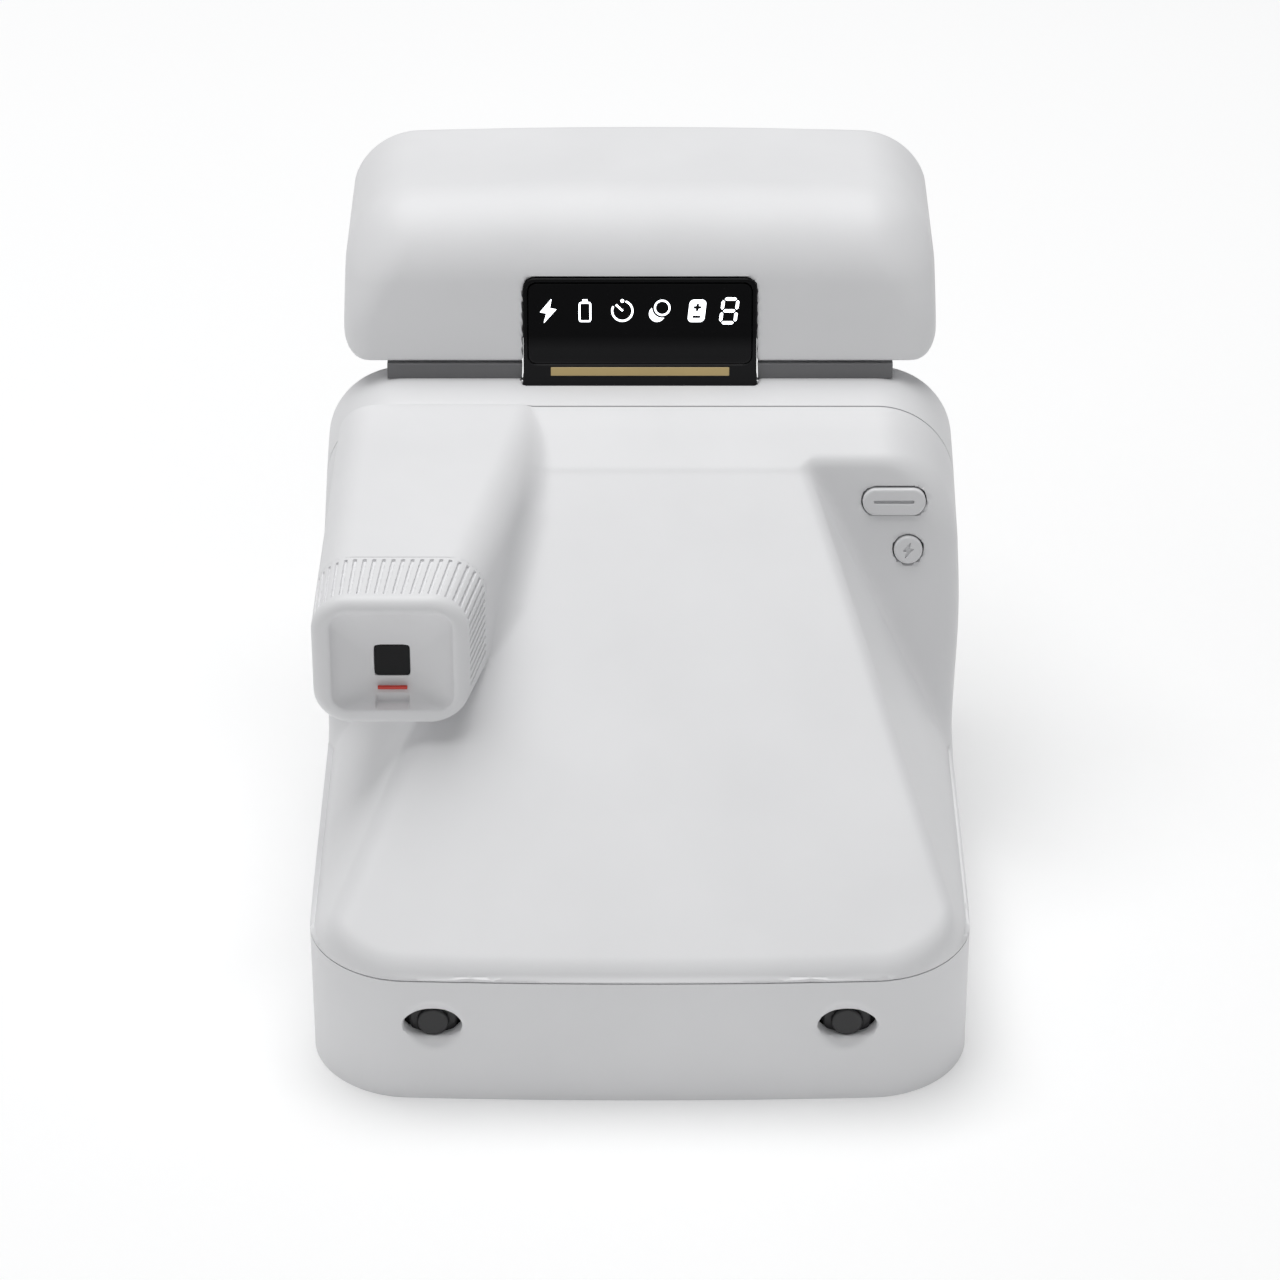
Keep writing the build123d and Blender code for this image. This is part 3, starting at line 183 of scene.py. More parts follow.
def leaning(angle):
    """Normal of a surface that rises forward at angle."""
    return (0, -math.sin(angle), math.cos(angle))


def eased(value):
    """Smooth step from 0 to 1."""
    share = np.clip(value, 0, 1)
    return share * share * (3 - 2 * share)


def plan_field(x, y):
    behind = np.minimum(y, 0) / HALF_LENGTH
    ends = np.abs(y) - HALF_LENGTH + np.where(y < 0, BOW, 0) * (x / HALF_WIDTH) ** 2
    sides = np.abs(x) - HALF_WIDTH + SIDE_DRAW * behind**4
    return round_max(sides, ends, CORNER_R)


def top_field(x, y, z):
    """Height above the strip behind the lid, which kinks at the housing seam."""
    shoulder = half_space(x, y, z, (0, *RIDGE), leaning(shoulder_angle))
    crest = half_space(x, y, z, (0, SEAM_Y, SHOULDER_Z), leaning(crest_angle))
    return soft_max(shoulder, crest, 2.0)


def block_field(x, y, z):
    """Upper body with rounded upper corners, cut at the rear by the button wall."""
    swell = np.where(x > 0, BULGE, 0) * np.exp(-(((z - BULGE_Z) / SWELL_REACH) ** 2))
    section = round_max(np.abs(x) - HALF_WIDTH - swell, top_field(x, y, z), TOP_R)
    edge = WALL_EDGE + CORNER_EDGE * eased((np.abs(x) - CORNER_X) / CORNER_RUN)
    wall = half_space(x, y, z, BUTTON_AT, WALL_OUT)
    return soft_max(soft_max(section, wall, edge), y - FRONT_Y, 1.5)


def hump_field(x, y, z):
    """Mirror hump: the slope and its two side facets over the plan of the base."""
    slope = half_space(x, y, z, (0, *RIDGE), leaning(slope_angle))
    right = half_space(x, y, z, (SLOPE_RIGHT, *RIDGE), (facet_run, 0, HALF_WIDTH - SLOPE_RIGHT))
    left = half_space(x, y, z, (SLOPE_LEFT, *RIDGE), (-facet_run, 0, HALF_WIDTH + SLOPE_LEFT))
    roof = soft_max(soft_max(slope, right, RIGHT_CREASE), left, LEFT_CREASE)
    return soft_max(roof, plan_field(x, y), FOOT_EDGE)


def tunnel_field(x, y, z):
    """Viewfinder tunnel, flared towards the front."""
    top = half_space(x, y, z, (0, cup_low.y, CUP_TOP), leaning(tunnel_rise))
    flare = (math.cos(TUNNEL_FLARE), -math.sin(TUNNEL_FLARE), 0)
    right = half_space(x, y, z, (CUP_RIGHT, cup_low.y, 0), flare)
    left = cup_low.x - x + SIDE_TAPER * np.maximum(y - cup_low.y, 0)
    sides = soft_max(right, left, 1.0)
    return round_max(round_max(sides, top, TUNNEL_R), CUP_BASE - z, TUNNEL_R)


def base_field(x, y, z):
    radius = BASE_R + (BASE_REAR_R - BASE_R) * eased((REAR_EASE_Y - y) / REAR_EASE)
    return np.maximum(round_max(plan_field(x, y), -z, radius), z - SEAM_Z - 2)


def nose_field(x, y, z):
    return soft_max(soft_max(plan_field(x, y), z - NOSE_Z, 4.0), SEAM_Y - 3 - y, 1.0)


def rear_body_field(x, y, z):
    """Hump and upper body behind the housing seam, without the finder tunnel."""
    joined = soft_min(hump_field(x, y, z), block_field(x, y, z), HUMP_JOIN)
    return np.maximum(joined, top_field(x, y, z))


def body_field(x, y, z):
    """The closed body of the camera ahead of the eyecup, without its lid."""
    cup = np.maximum(tunnel_field(x, y, z), cup_high.y - y)
    blend = np.clip(np.minimum((SEAM_Y - y) / 4, (y - cup_high.y) / 2), 0.2, TUNNEL_JOIN)
    rear = soft_min(rear_body_field(x, y, z), cup, blend)
    lower = np.minimum(base_field(x, y, z), nose_field(x, y, z))
    front = soft_min(np.maximum(lower, z - NOSE_Z), block_field(x, y, z), HUMP_JOIN)
    behind = np.minimum(rear, np.maximum(lower, z - SEAM_Z - 0.5))
    return np.where(y > SEAM_Y, front, behind)


def shell_field(x, y, z):
    outer = body_field(x, y, z)
    return np.maximum(outer, -(outer + WALL))


def box_field(x, y, z, low, high, radius=0.3):
    """Box between two corners with rounded edges."""
    parts = [np.abs(c - (a + b) / 2) - (b - a) / 2 for c, a, b in zip((x, y, z), low, high)]
    return round_max(round_max(parts[0], parts[1], radius), parts[2], radius)


# ---------------------------------------------------------------- meshing
def grid_axes(low, high, pitch):
    return [np.arange(a, b + pitch, pitch) for a, b in zip(low, high)]


SETTLE_STEP, SETTLE_ROUNDS = 0.05, 3


def settle(points, field, pitch):
    """Move points onto the zero surface of the field."""
    step = SETTLE_STEP
    for _ in range(SETTLE_ROUNDS):
        x, y, z = points.T
        value = field(x, y, z)
        slope = np.stack(
            [
                (field(x + step, y, z) - field(x - step, y, z)),
                (field(x, y + step, z) - field(x, y - step, z)),
                (field(x, y, z + step) - field(x, y, z - step)),
            ],
            axis=1,
        ) / (2 * step)
        size = np.maximum((slope**2).sum(1), 0.25)
        move = -slope * (value / size)[:, None]
        points = points + np.clip(move, -pitch / 3, pitch / 3)
    return points


def mesh_from_field(name, field, low, high, pitch, cuts=(), place=None):
    """Closed mesh of a field's zero surface between two corners.

    cuts are planes (origin, normal) beyond which the mesh is cut off flat, and place is
    the matrix from the field's own millimetres to the camera's."""
    axes = grid_axes(low, high, pitch)
    x, y, z = np.meshgrid(*axes, indexing="ij", sparse=True)
    values = np.broadcast_to(field(x, y, z), [len(a) for a in axes])
    band = 3 * pitch
    values = np.ascontiguousarray(np.clip(values, -band, band), dtype=np.float32)
    grid = openvdb.FloatGrid(band)
    grid.copyFromArray(values)
    points, triangles, quads = grid.convertToPolygons(0.0, 0.0)
    points = settle(points * pitch + np.array([a[0] for a in axes]), field, pitch)
    if place is None:
        # Presses flat whatever passes the CAD box, which hides two faults of the housing
        # fields: the upper body has no lower end, so the tray has no floor and its walls run
        # 1.7 mm too low, and blended sides that coincide stand 0.5 mm too wide.
        points = np.clip(points, *(np.array(corner) / MM for corner in cad_box))
    mesh = bpy.data.meshes.new(name)
    mesh.from_pydata(points.tolist(), [], quads.tolist() + triangles.tolist())
    if cuts:
        cut_flat(mesh, cuts)
    if place is not None:
        mesh.transform(place)
    mesh.transform(Matrix.Scale(MM, 4))
    return finish_mesh(name, mesh)


def cut_flat(mesh, cuts):
    """Cut the mesh off beyond each plane and close it with a flat face."""
    edit = bmesh.new()
    edit.from_mesh(mesh)
    for origin, normal in cuts:
        everything = edit.verts[:] + edit.edges[:] + edit.faces[:]
        made = bmesh.ops.bisect_plane(
            edit, geom=everything, plane_co=origin, plane_no=normal, clear_outer=True, dist=1e-4
        )
        rim = [e for e in made["geom_cut"] if isinstance(e, bmesh.types.BMEdge) and e.is_valid]
        rim = [e for e in rim if len(e.link_faces) == 1]
        bmesh.ops.triangle_fill(edit, use_beauty=True, edges=rim)
    bmesh.ops.recalc_face_normals(edit, faces=edit.faces[:])
    edit.to_mesh(mesh)
    edit.free()


def finish_mesh(name, mesh):
    """Object of a finished mesh, shaded smooth except across creases."""
    mesh.validate()
    mesh.shade_smooth()
    mesh.set_sharp_from_angle(angle=math.radians(CREASE))
    piece = bpy.data.objects.new(name, mesh)
    bpy.context.scene.collection.objects.link(piece)
    return piece


def add_piece(piece, body, slot, material, *nodes):
    """Give a piece its body and material, and hide the CAD nodes that it stands for; the finish named by
    slot is not used.
    """
    piece.data.materials.clear()
    piece.data.materials.append(material)
    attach(piece, body)
    if nodes:
        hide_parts(*nodes)
    return piece


# ---------------------------------------------------------------- materials
def new_material(name):
    material = bpy.data.materials.new(name)
    material.use_nodes = True
    tree = material.node_tree
    return material, tree, tree.nodes["Principled BSDF"]


def noise(tree, scale, detail=2.0, roughness=0.5):
    """Noise over the piece's own coordinates, at scale features per metre."""
    where = tree.nodes.new("ShaderNodeTexCoord")
    made = tree.nodes.new("ShaderNodeTexNoise")
    made.inputs["Scale"].default_value = scale
    made.inputs["Detail"].default_value = detail
    made.inputs["Roughness"].default_value = roughness
    tree.links.new(where.outputs["Object"], made.inputs["Vector"])
    return made.outputs["Fac"]


def ramp(tree, source, stops):
    """Colour ramp over source; stops are (position, colour)."""
    made = tree.nodes.new("ShaderNodeValToRGB")
    while len(made.color_ramp.elements) < len(stops):
        made.color_ramp.elements.new(0.5)
    for element, (position, colour) in zip(made.color_ramp.elements, stops):
        element.position = position
        element.color = (*colour, 1)
    tree.links.new(source, made.inputs["Fac"])
    return made.outputs["Color"]


def spread(tree, source, low, high):
    """Source's range 0.3 to 0.7 spread over low to high."""
    made = tree.nodes.new("ShaderNodeMapRange")
    made.inputs["From Min"].default_value = 0.3
    made.inputs["From Max"].default_value = 0.7
    made.inputs["To Min"].default_value = low
    made.inputs["To Max"].default_value = high
    tree.links.new(source, made.inputs["Value"])
    return made.outputs["Result"]


def bump(tree, shader, source, strength, distance):
    made = tree.nodes.new("ShaderNodeBump")
    made.inputs["Strength"].default_value = strength
    made.inputs["Distance"].default_value = distance
    tree.links.new(source, made.inputs["Height"])
    tree.links.new(made.outputs["Normal"], shader.inputs["Normal"])


def shade(colour, factor):
    return tuple(min(c * factor, 1.0) for c in colour)


GRAIN_PER_METRE = 5000
GRAIN_DEPTH, GRAIN_STRENGTH = 0.00002, 0.35


def moulded(name, colour, roughness=0.5, mottle=0.02):
    """Moulded plastic with a fine spark-eroded grain and a faint mottle."""
    material, tree, shader = new_material(name)
    cloud = noise(tree, 45, 3.0)
    stops = [(0.3, shade(colour, 1 - mottle)), (0.7, shade(colour, 1 + mottle))]
    tree.links.new(ramp(tree, cloud, stops), shader.inputs["Base Color"])
    fine = noise(tree, GRAIN_PER_METRE, 3.0, 0.6)
    tree.links.new(spread(tree, fine, roughness - 0.06, roughness + 0.06), shader.inputs["Roughness"])
    shader.inputs["Specular IOR Level"].default_value = 0.5
    bump(tree, shader, fine, GRAIN_STRENGTH, GRAIN_DEPTH)
    return material


def metal(name, colour, roughness=0.3, stretch=1800):
    """Machined or drawn metal with fine lines."""
    material, tree, shader = new_material(name)
    shader.inputs["Metallic"].default_value = 1.0
    fine = noise(tree, stretch, 4.0, 0.7)
    stops = [(0.3, shade(colour, 0.88)), (0.7, shade(colour, 1.06))]
    tree.links.new(ramp(tree, fine, stops), shader.inputs["Base Color"])
    tree.links.new(spread(tree, fine, roughness - 0.08, roughness + 0.08), shader.inputs["Roughness"])
    bump(tree, shader, fine, 0.15, 0.00001)
    return material


def glass(name, tint, roughness=0.04):
    """Clear or tinted glass with a trace of surface variation."""
    material, tree, shader = new_material(name)
    cloud = noise(tree, 120, 2.0)
    stops = [(0.3, shade(tint, 0.97)), (0.7, tint)]
    tree.links.new(ramp(tree, cloud, stops), shader.inputs["Base Color"])
    tree.links.new(spread(tree, cloud, roughness, roughness + 0.03), shader.inputs["Roughness"])
    shader.inputs["Transmission Weight"].default_value = 1.0
    shader.inputs["IOR"].default_value = 1.49
    return material


def gloss(name, colour, roughness=0.08):
    """Polished black plastic or glass with a clear coat."""
    material, tree, shader = new_material(name)
    cloud = noise(tree, 60, 2.0)
    stops = [(0.3, shade(colour, 0.8)), (0.7, colour)]
    tree.links.new(ramp(tree, cloud, stops), shader.inputs["Base Color"])
    fine = noise(tree, 700, 3.0)
    tree.links.new(spread(tree, fine, roughness, roughness + 0.05), shader.inputs["Roughness"])
    shader.inputs["Coat Weight"].default_value = 0.4
    shader.inputs["Coat Roughness"].default_value = 0.05
    return material


def panel_black(name, roughness):
    """Smoked panel of the lid: deep black above, a little paler towards its lower end, where a reflection
    of the lit surroundings is painted in.
    """
    material, tree, shader = new_material(name)
    where = tree.nodes.new("ShaderNodeTexCoord")
    split = tree.nodes.new("ShaderNodeSeparateXYZ")
    tree.links.new(where.outputs["Object"], split.inputs["Vector"])
    height = tree.nodes.new("ShaderNodeMapRange")
    height.inputs["From Min"].default_value = (lid_low.z + PAINTED_REFLECTION_SPAN[0]) * MM
    height.inputs["From Max"].default_value = (lid_low.z + PAINTED_REFLECTION_SPAN[1]) * MM
    tree.links.new(split.outputs["Z"], height.inputs["Value"])
    # painted reflection: the panel's lower end is paler and the rest is deep black
    stops = [(0.0, (0.016, 0.016, 0.017)), (1.0, (0.0045, 0.0045, 0.005))]
    tree.links.new(ramp(tree, height.outputs["Result"], stops), shader.inputs["Base Color"])
    fine = noise(tree, 700, 3.0)
    tree.links.new(spread(tree, fine, roughness, roughness + 0.05), shader.inputs["Roughness"])
    shader.inputs["Specular IOR Level"].default_value = 0.1
    return material


def glowing(name, colour, power):
    """Lit display segment, a little brighter in its middle."""
    material, tree, shader = new_material(name)
    cloud = noise(tree, 900, 1.0)
    stops = [(0.3, shade(colour, 0.94)), (0.7, colour)]
    lit = ramp(tree, cloud, stops)
    tree.links.new(lit, shader.inputs["Base Color"])
    tree.links.new(lit, shader.inputs["Emission Color"])
    shader.inputs["Emission Strength"].default_value = power
    return material


def circuit(name):
    """Green board with darker tracks."""
    material, tree, shader = new_material(name)
    where = tree.nodes.new("ShaderNodeTexCoord")
    cells = tree.nodes.new("ShaderNodeTexVoronoi")
    cells.feature = "DISTANCE_TO_EDGE"
    cells.inputs["Scale"].default_value = 420
    tree.links.new(where.outputs["Object"], cells.inputs["Vector"])
    stops = [(0.03, (0.02, 0.20, 0.08)), (0.08, (0.01, 0.11, 0.05))]
    tree.links.new(ramp(tree, cells.outputs["Distance"], stops), shader.inputs["Base Color"])
    shader.inputs["Roughness"].default_value = 0.35
    bump(tree, shader, cells.outputs["Distance"], 0.2, 0.00003)
    return material


WHITE = (0.80, 0.80, 0.81)
PAINTED_REFLECTION_SPAN = (2.4, 4.6)       # heights above the lid's lower edge over which the painted reflection on the panel fades to deep black
finishes = {
    "white_shell": moulded("white_shell", WHITE, 0.46),
    "button_grey": moulded("button_grey", (0.76, 0.76, 0.77), 0.42),
    "fascia_grey": moulded("fascia_grey", (0.50, 0.50, 0.51), 0.5),
    "black_plastic": moulded("black_plastic", (0.014, 0.014, 0.015), 0.42),
    # seal_grey is painted shade: a dark grey that stands in for the shadow under the lid's rear edge
    "seal_grey": moulded("seal_grey", (0.17, 0.17, 0.175), 0.6),
    "black_gloss": panel_black("black_gloss", 0.3),
    "display_glass": panel_black("display_glass", 0.12),
    "gear_white": moulded("gear_white", (0.72, 0.70, 0.64), 0.4),
    "gear_brass": metal("gear_brass", (0.80, 0.58, 0.24), 0.3),
    "steel": metal("steel", (0.62, 0.62, 0.63), 0.28),
    "blade_black": moulded("blade_black", (0.02, 0.02, 0.022), 0.35),
    "motor_can": metal("motor_can", (0.55, 0.55, 0.56), 0.38),
    "mirror": metal("mirror", (0.92, 0.93, 0.94), 0.1, 200),
    "clear_glass": glass("clear_glass", (0.95, 0.96, 0.97)),
    "circuit_board": circuit("circuit_board"),
    "battery_wrap": moulded("battery_wrap", (0.55, 0.57, 0.60), 0.4),
    "capacitor_wrap": moulded("capacitor_wrap", (0.03, 0.04, 0.07), 0.3),
    "sensor_gold": gloss("sensor_gold", (0.05, 0.012, 0.012), 0.08),
    "shutter_red": moulded("shutter_red", (0.62, 0.045, 0.03), 0.38),
    "stripe": moulded("stripe", (0.60, 0.45, 0.20), 0.38, mottle=0.04),
    "flash_lens": glass("flash_lens", (0.93, 0.94, 0.95), 0.12),
    "chrome_reflector": metal("chrome_reflector", (0.88, 0.88, 0.89), 0.14, 400),
}
white = finishes["white_shell"]
black = finishes["black_plastic"]
for part in frame["record"]["subparts"]:
    finish = finishes[part["material_slot"]]
    slots = frame["nodes"][part["node"]].data.materials
    slots.clear()
    slots.append(finish)

# ---------------------------------------------------------------- housings
SHELL_PITCH = 0.6
STUD_X, STUD_Z = 34.3, 15.0
DISH_R, DISH_DEPTH = 5.3, 2.2
EYELET_HALF, EYELET_UP, EYELET_DOWN = 4.9, 2.5, 2.9
BEND_UP, BEND_DOWN = 3.0, 2.0      # how square the eyelet is above and below its middle
CUP_WALL_R, CUP_DEPTH = 7.2, 3.6   # cup moulded behind each dish
EYELET_DEPTH = 8.0


def half_sphere(radius, depth):
    """Spherical dish of DISH_R at the surface and DISH_DEPTH deep."""
    ball = (DISH_R**2 + DISH_DEPTH**2) / (2 * DISH_DEPTH)
    return np.hypot(radius, depth + ball - DISH_DEPTH) - ball


def tray_field(x, y, z):
    """Base tray with a dished recess and an eyelet round each strap stud."""
    rear = y + HALF_LENGTH
    u, v = np.abs(x) - STUD_X, z - STUD_Z
    radius = np.hypot(u, v)
    cup = np.maximum(np.maximum(radius - CUP_WALL_R, rear - CUP_DEPTH), body_field(x, y, z))
    tray = np.minimum(shell_field(x, y, z), cup)
    tray = soft_max(tray, -half_sphere(radius, rear), 0.3)
    tall = np.where(v > 0, EYELET_UP, EYELET_DOWN)
    bend = np.where(v > 0, BEND_UP, BEND_DOWN)
    oval = ((np.abs(u) / EYELET_HALF) ** bend + (np.abs(v) / tall) ** 2) ** 0.5 - 1
    hole = np.maximum(oval * EYELET_UP, rear - EYELET_DEPTH)
    return soft_max(tray, -hole, 0.3)


button_x = Vector((1, 0, 0))
button_out = Vector(WALL_OUT)
button_up = button_out.cross(button_x)
ROUND_AT = (2.6, -8.8)             # round key, from the middle of the oblong one
OBLONG_HOLE, ROUND_HOLE_R = (5.75, 2.7, 2.7), 2.75
FINDER_WAY = ((8.5, 6.6), (8.5, 8.5))      # room for the finder tube about the eyepiece


def button_coordinates(x, y, z):
    """Place in the plane of the button wall, and height above it."""
    dx, dy, dz = (c - o for c, o in zip((x, y, z), BUTTON_AT))
    return [dx * a.x + dy * a.y + dz * a.z for a in (button_x, button_up, button_out)]


def rear_field(x, y, z):
    """Rear housing, with the two button holes and the way in for the finder tube."""
    u, v, w = button_coordinates(x, y, z)
    oblong = rounded_rect(u, v, *OBLONG_HOLE)
    key = np.hypot(u - ROUND_AT[0], v - ROUND_AT[1]) - ROUND_HOLE_R
    holes = np.maximum(np.minimum(oblong, key), np.abs(w) - 4)
    (low_x, low_z), (high_x, high_z) = FINDER_WAY
    tube_low = (EYE[0] - low_x, cup_high.y - 2, EYE[1] - low_z)
    tube_high = (EYE[0] + high_x, cup_high.y + 6, EYE[1] + high_z)
    tube_way = box_field(x, y, z, tube_low, tube_high, 1.0)
    return np.maximum(shell_field(x, y, z), -np.minimum(holes, tube_way))


FASCIA_GAP = Vector((0.2, 2, 0.2))
FRONT_OPENINGS = [             # lowest corner, highest corner and corner radius
    (fascia_low - FASCIA_GAP, fascia_high + FASCIA_GAP, 2.5),           # fascia
    ((-20.9, 32.9, 78.8), (20.9, 45, 90), 0.8),                         # hinge barrel
    ((-70, DOOR_Y - 0.3, 0), (70, 80, DOOR_TOP + 0.3), 0.3),            # film door
    ((50, 30.7, 55.9), (60, 34.1, 65.1), 1.5),                          # charging port
    ((50, 31.2, 29.6), (60, 36.8, 38.0), 0.6),                          # door latch
]


def front_field(x, y, z):
    """Front housing, open for the fascia, the hinge barrel, the film door, port and latch."""
    openings = [box_field(x, y, z, *opening) for opening in FRONT_OPENINGS]
    return np.maximum(shell_field(x, y, z), -np.minimum.reduce(np.broadcast_arrays(*openings)))


SKIN_MARGIN = 1.5              # room round a piece when it is meshed
SEAM_HALF_GAP = 0.12
CUT_SPARE = 1.2                # length meshed beyond a flat cut


def make_housings():
    lo = (-HALF_WIDTH - SKIN_MARGIN, -HALF_LENGTH - SKIN_MARGIN, -SKIN_MARGIN)
    hi = (HALF_WIDTH + SKIN_MARGIN, HALF_LENGTH + SKIN_MARGIN, CREST_Z + SKIN_MARGIN)
    tray = mesh_from_field(
        "tray_skin", tray_field, lo, (hi[0], DOOR_Y + 0.3, TRAY_TOP + CUT_SPARE), SHELL_PITCH,
        [((0, 0, TRAY_TOP), (0, 0, 1)), ((0, DOOR_Y - 0.3, 0), (0, 1, 0))],
    )
    add_piece(tray, "camera_body", "white_shell", white, "base_tray")
    rear = mesh_from_field(
        "rear_skin", rear_field, (lo[0], lo[1], SEAM_Z - CUT_SPARE),
        (hi[0], SEAM_Y + CUT_SPARE, hi[2]), SHELL_PITCH,
        [((0, 0, SEAM_Z), (0, 0, -1)), ((0, SEAM_Y - SEAM_HALF_GAP, 0), (0, 1, 0))],
    )
    add_piece(rear, "camera_body", "white_shell", white, "rear_housing")
    front = mesh_from_field(
        "front_skin", front_field, (lo[0], SEAM_Y - CUT_SPARE, SEAM_Z - CUT_SPARE), hi, SHELL_PITCH,
        [((0, 0, SEAM_Z), (0, 0, -1)), ((0, SEAM_Y + SEAM_HALF_GAP, 0), (0, -1, 0))],
    )
    add_piece(front, "camera_body", "white_shell", white, "front_housing")


make_housings()

# ---------------------------------------------------------------- eyecup
RIB_PITCH, RIB_HALF, RIB_DEPTH = 1.44, 0.26, 0.45
RIB_REAR, RIB_FRONT = cup_low.y + 2.4, cup_high.y - 0.5
MOUTH_X, MOUTH_Z = -41.3, 63.9
MOUTH_HALF = (10.2, 9.4)
FUNNEL_FLOOR_Y = cup_low.y + 4.5
EYE_HALF = 3.0
MOUTH_R = 3.0                      # corner of the funnel
PANE_HALF_DEPTH = 0.6
NOTCH_HALF, NOTCH_FRONT = 2.8, cup_low.y + 3.2
NOTCH_DROP = 7.6                   # how far below the eyepiece the notch reaches
MARK_HALF, MARK_DROP = 2.5, (4.9, 4.3)    # red mark: half length, and how far below the eyepiece
cup_half = ((CUP_RIGHT - cup_low.x) / 2, (CUP_TOP - CUP_BASE) / 2)


def rib_grooves(x, y, z):
    """Distance to the nearest of the grooves that run round the top and sides of the cup."""
    ahead = y - cup_low.y
    half = cup_half[0] + ahead * math.tan(TUNNEL_FLARE) / 2
    u = (x - cup_low.x - half) * cup_half[0] / half
    v = z - CUP_TOP - ahead * math.tan(tunnel_rise) + cup_half[1]
    a, b = cup_half[0] - TUNNEL_R, cup_half[1] - TUNNEL_R
    over, up = np.abs(u) - a, v - b
    turn = np.arctan2(np.maximum(over, 0), np.maximum(up, 1e-6))
    along = np.where(over < 0, np.abs(u), a + TUNNEL_R * turn)
    along = np.where(up < 0, a + TUNNEL_R * math.pi / 2 - up, along)
    along = np.where((up < 0) & (over < 0), 0.5 * RIB_PITCH, along)
    nearest = np.abs((along / RIB_PITCH) % 1.0 - 0.5) * RIB_PITCH
    ends = np.maximum(RIB_REAR - y, y - RIB_FRONT)
    return np.maximum(np.maximum(nearest - RIB_HALF, ends), -(v + cup_half[1] - 6.0))


def cup_field(x, y, z):
    """Ribbed eyecup with a funnel that narrows to the square eyepiece."""
    outer = tunnel_field(x, y, z)
    closed = round_max(outer, cup_low.y - y, 1.8)
    grooved = soft_max(closed, -np.maximum(rib_grooves(x, y, z), -(outer + RIB_DEPTH)), 0.12)
    depth = np.clip((y - cup_low.y) / (FUNNEL_FLOOR_Y - cup_low.y), -0.4, 1.0)
    u = x - MOUTH_X - (EYE[0] - MOUTH_X) * depth
    v = z - MOUTH_Z - (EYE[1] - MOUTH_Z) * depth
    closed_in = depth * np.abs(depth)
    half_u = MOUTH_HALF[0] + (EYE_HALF + 0.4 - MOUTH_HALF[0]) * closed_in
    half_v = MOUTH_HALF[1] + (EYE_HALF + 0.4 - MOUTH_HALF[1]) * closed_in
    mouth = round_max(np.abs(u) - half_u, np.abs(v) - half_v, MOUTH_R) * 0.5
    funnel = np.maximum(mouth, y - FUNNEL_FLOOR_Y)
    eye = rounded_rect(x - EYE[0], z - EYE[1], EYE_HALF, EYE_HALF, 0.6)
    back = np.maximum(rounded_rect(x - EYE[0], z - EYE[1], 7.0, 7.0, 1.0), FUNNEL_FLOOR_Y + 1.2 - y)
    notch_low = (EYE[0] - NOTCH_HALF, cup_low.y + 0.8, EYE[1] - NOTCH_DROP)
    notch = box_field(x, y, z, notch_low, (EYE[0] + NOTCH_HALF, NOTCH_FRONT, EYE[1]), 0.3)
    cup = soft_max(grooved, -funnel, 0.5)
    cup = np.maximum(cup, -np.minimum(np.minimum(eye, back), notch))
    return np.maximum(cup, -rear_body_field(x, y, z))


def mark_field(x, y, z):
    """Red alignment mark on the front wall of the notch."""
    low = (EYE[0] - MARK_HALF, NOTCH_FRONT - 0.2, EYE[1] - MARK_DROP[0])
    high = (EYE[0] + MARK_HALF, NOTCH_FRONT + 0.3, EYE[1] - MARK_DROP[1])
    return box_field(x, y, z, low, high, 0.1)


def pane_field(x, y, z):
    """Dark window that closes the funnel."""
    outline = rounded_rect(x - EYE[0], z - EYE[1], EYE_HALF - 0.02, EYE_HALF - 0.02, 0.6)
    return round_max(outline, np.abs(y - FUNNEL_FLOOR_Y - PANE_HALF_DEPTH) - PANE_HALF_DEPTH, 0.1)


def make_eyecup():
    margin = 0.6
    lo = (cup_low.x - margin, cup_low.y - margin, CUP_BASE - margin)
    hi = (cup_high.x + margin, cup_high.y + margin, cup_high.z + margin)
    cup = mesh_from_field("eyecup_skin", cup_field, lo, hi, 0.2, [((0, cup_high.y, 0), (0, 1, 0))])
    add_piece(cup, "camera_body", "white_shell", white, "eyecup")
    mark_low = (EYE[0] - 3, NOTCH_FRONT - 0.5, EYE[1] - 5.2)
    mark_high = (EYE[0] + 3, NOTCH_FRONT + 0.6, EYE[1] - 4.0)
    mark = mesh_from_field("finder_mark", mark_field, mark_low, mark_high, 0.1)
    add_piece(mark, "camera_body", "shutter_red", finishes["shutter_red"])
    pane_low = (EYE[0] - 3.5, FUNNEL_FLOOR_Y - 0.5, EYE[1] - 3.5)
    pane_high = (EYE[0] + 3.5, FUNNEL_FLOOR_Y + 1.7, EYE[1] + 3.5)
    pane = mesh_from_field("finder_eye", pane_field, pane_low, pane_high, 0.12)
    add_piece(pane, "camera_body", "display_glass", finishes["display_glass"], "eyepiece_lens")


make_eyecup()

# ---------------------------------------------------------------- lid
lean = math.atan2(4.0, 14.5)
LID_BOTTOM, LID_TOP = lid_low.z, lid_high.z
LID_REAR = lid_low.y
LID_WALL = 1.9
LID_DRAFT, LID_BOW = 0.025, 1.1    # draw of the sides, and crown of the top
LID_SIDE_R, LID_SIDE_GAIN = 5.5, 6.5      # upright rear corners, and how much rounder they end
LID_TOP_R, LID_FRONT_R, LID_RIM_R = 12.0, 0.8, 4.0
panel_out = Vector((0, -math.cos(lean), math.sin(lean)))
panel_up = Vector((0, math.sin(lean), math.cos(lean)))
panel_place = Matrix.Translation((0, LID_REAR, LID_BOTTOM)) @ Matrix(
    ((1, 0, 0, 0), (0, panel_up.y, panel_out.y, 0), (0, panel_up.z, panel_out.z, 0), (0, 0, 0, 1))
)


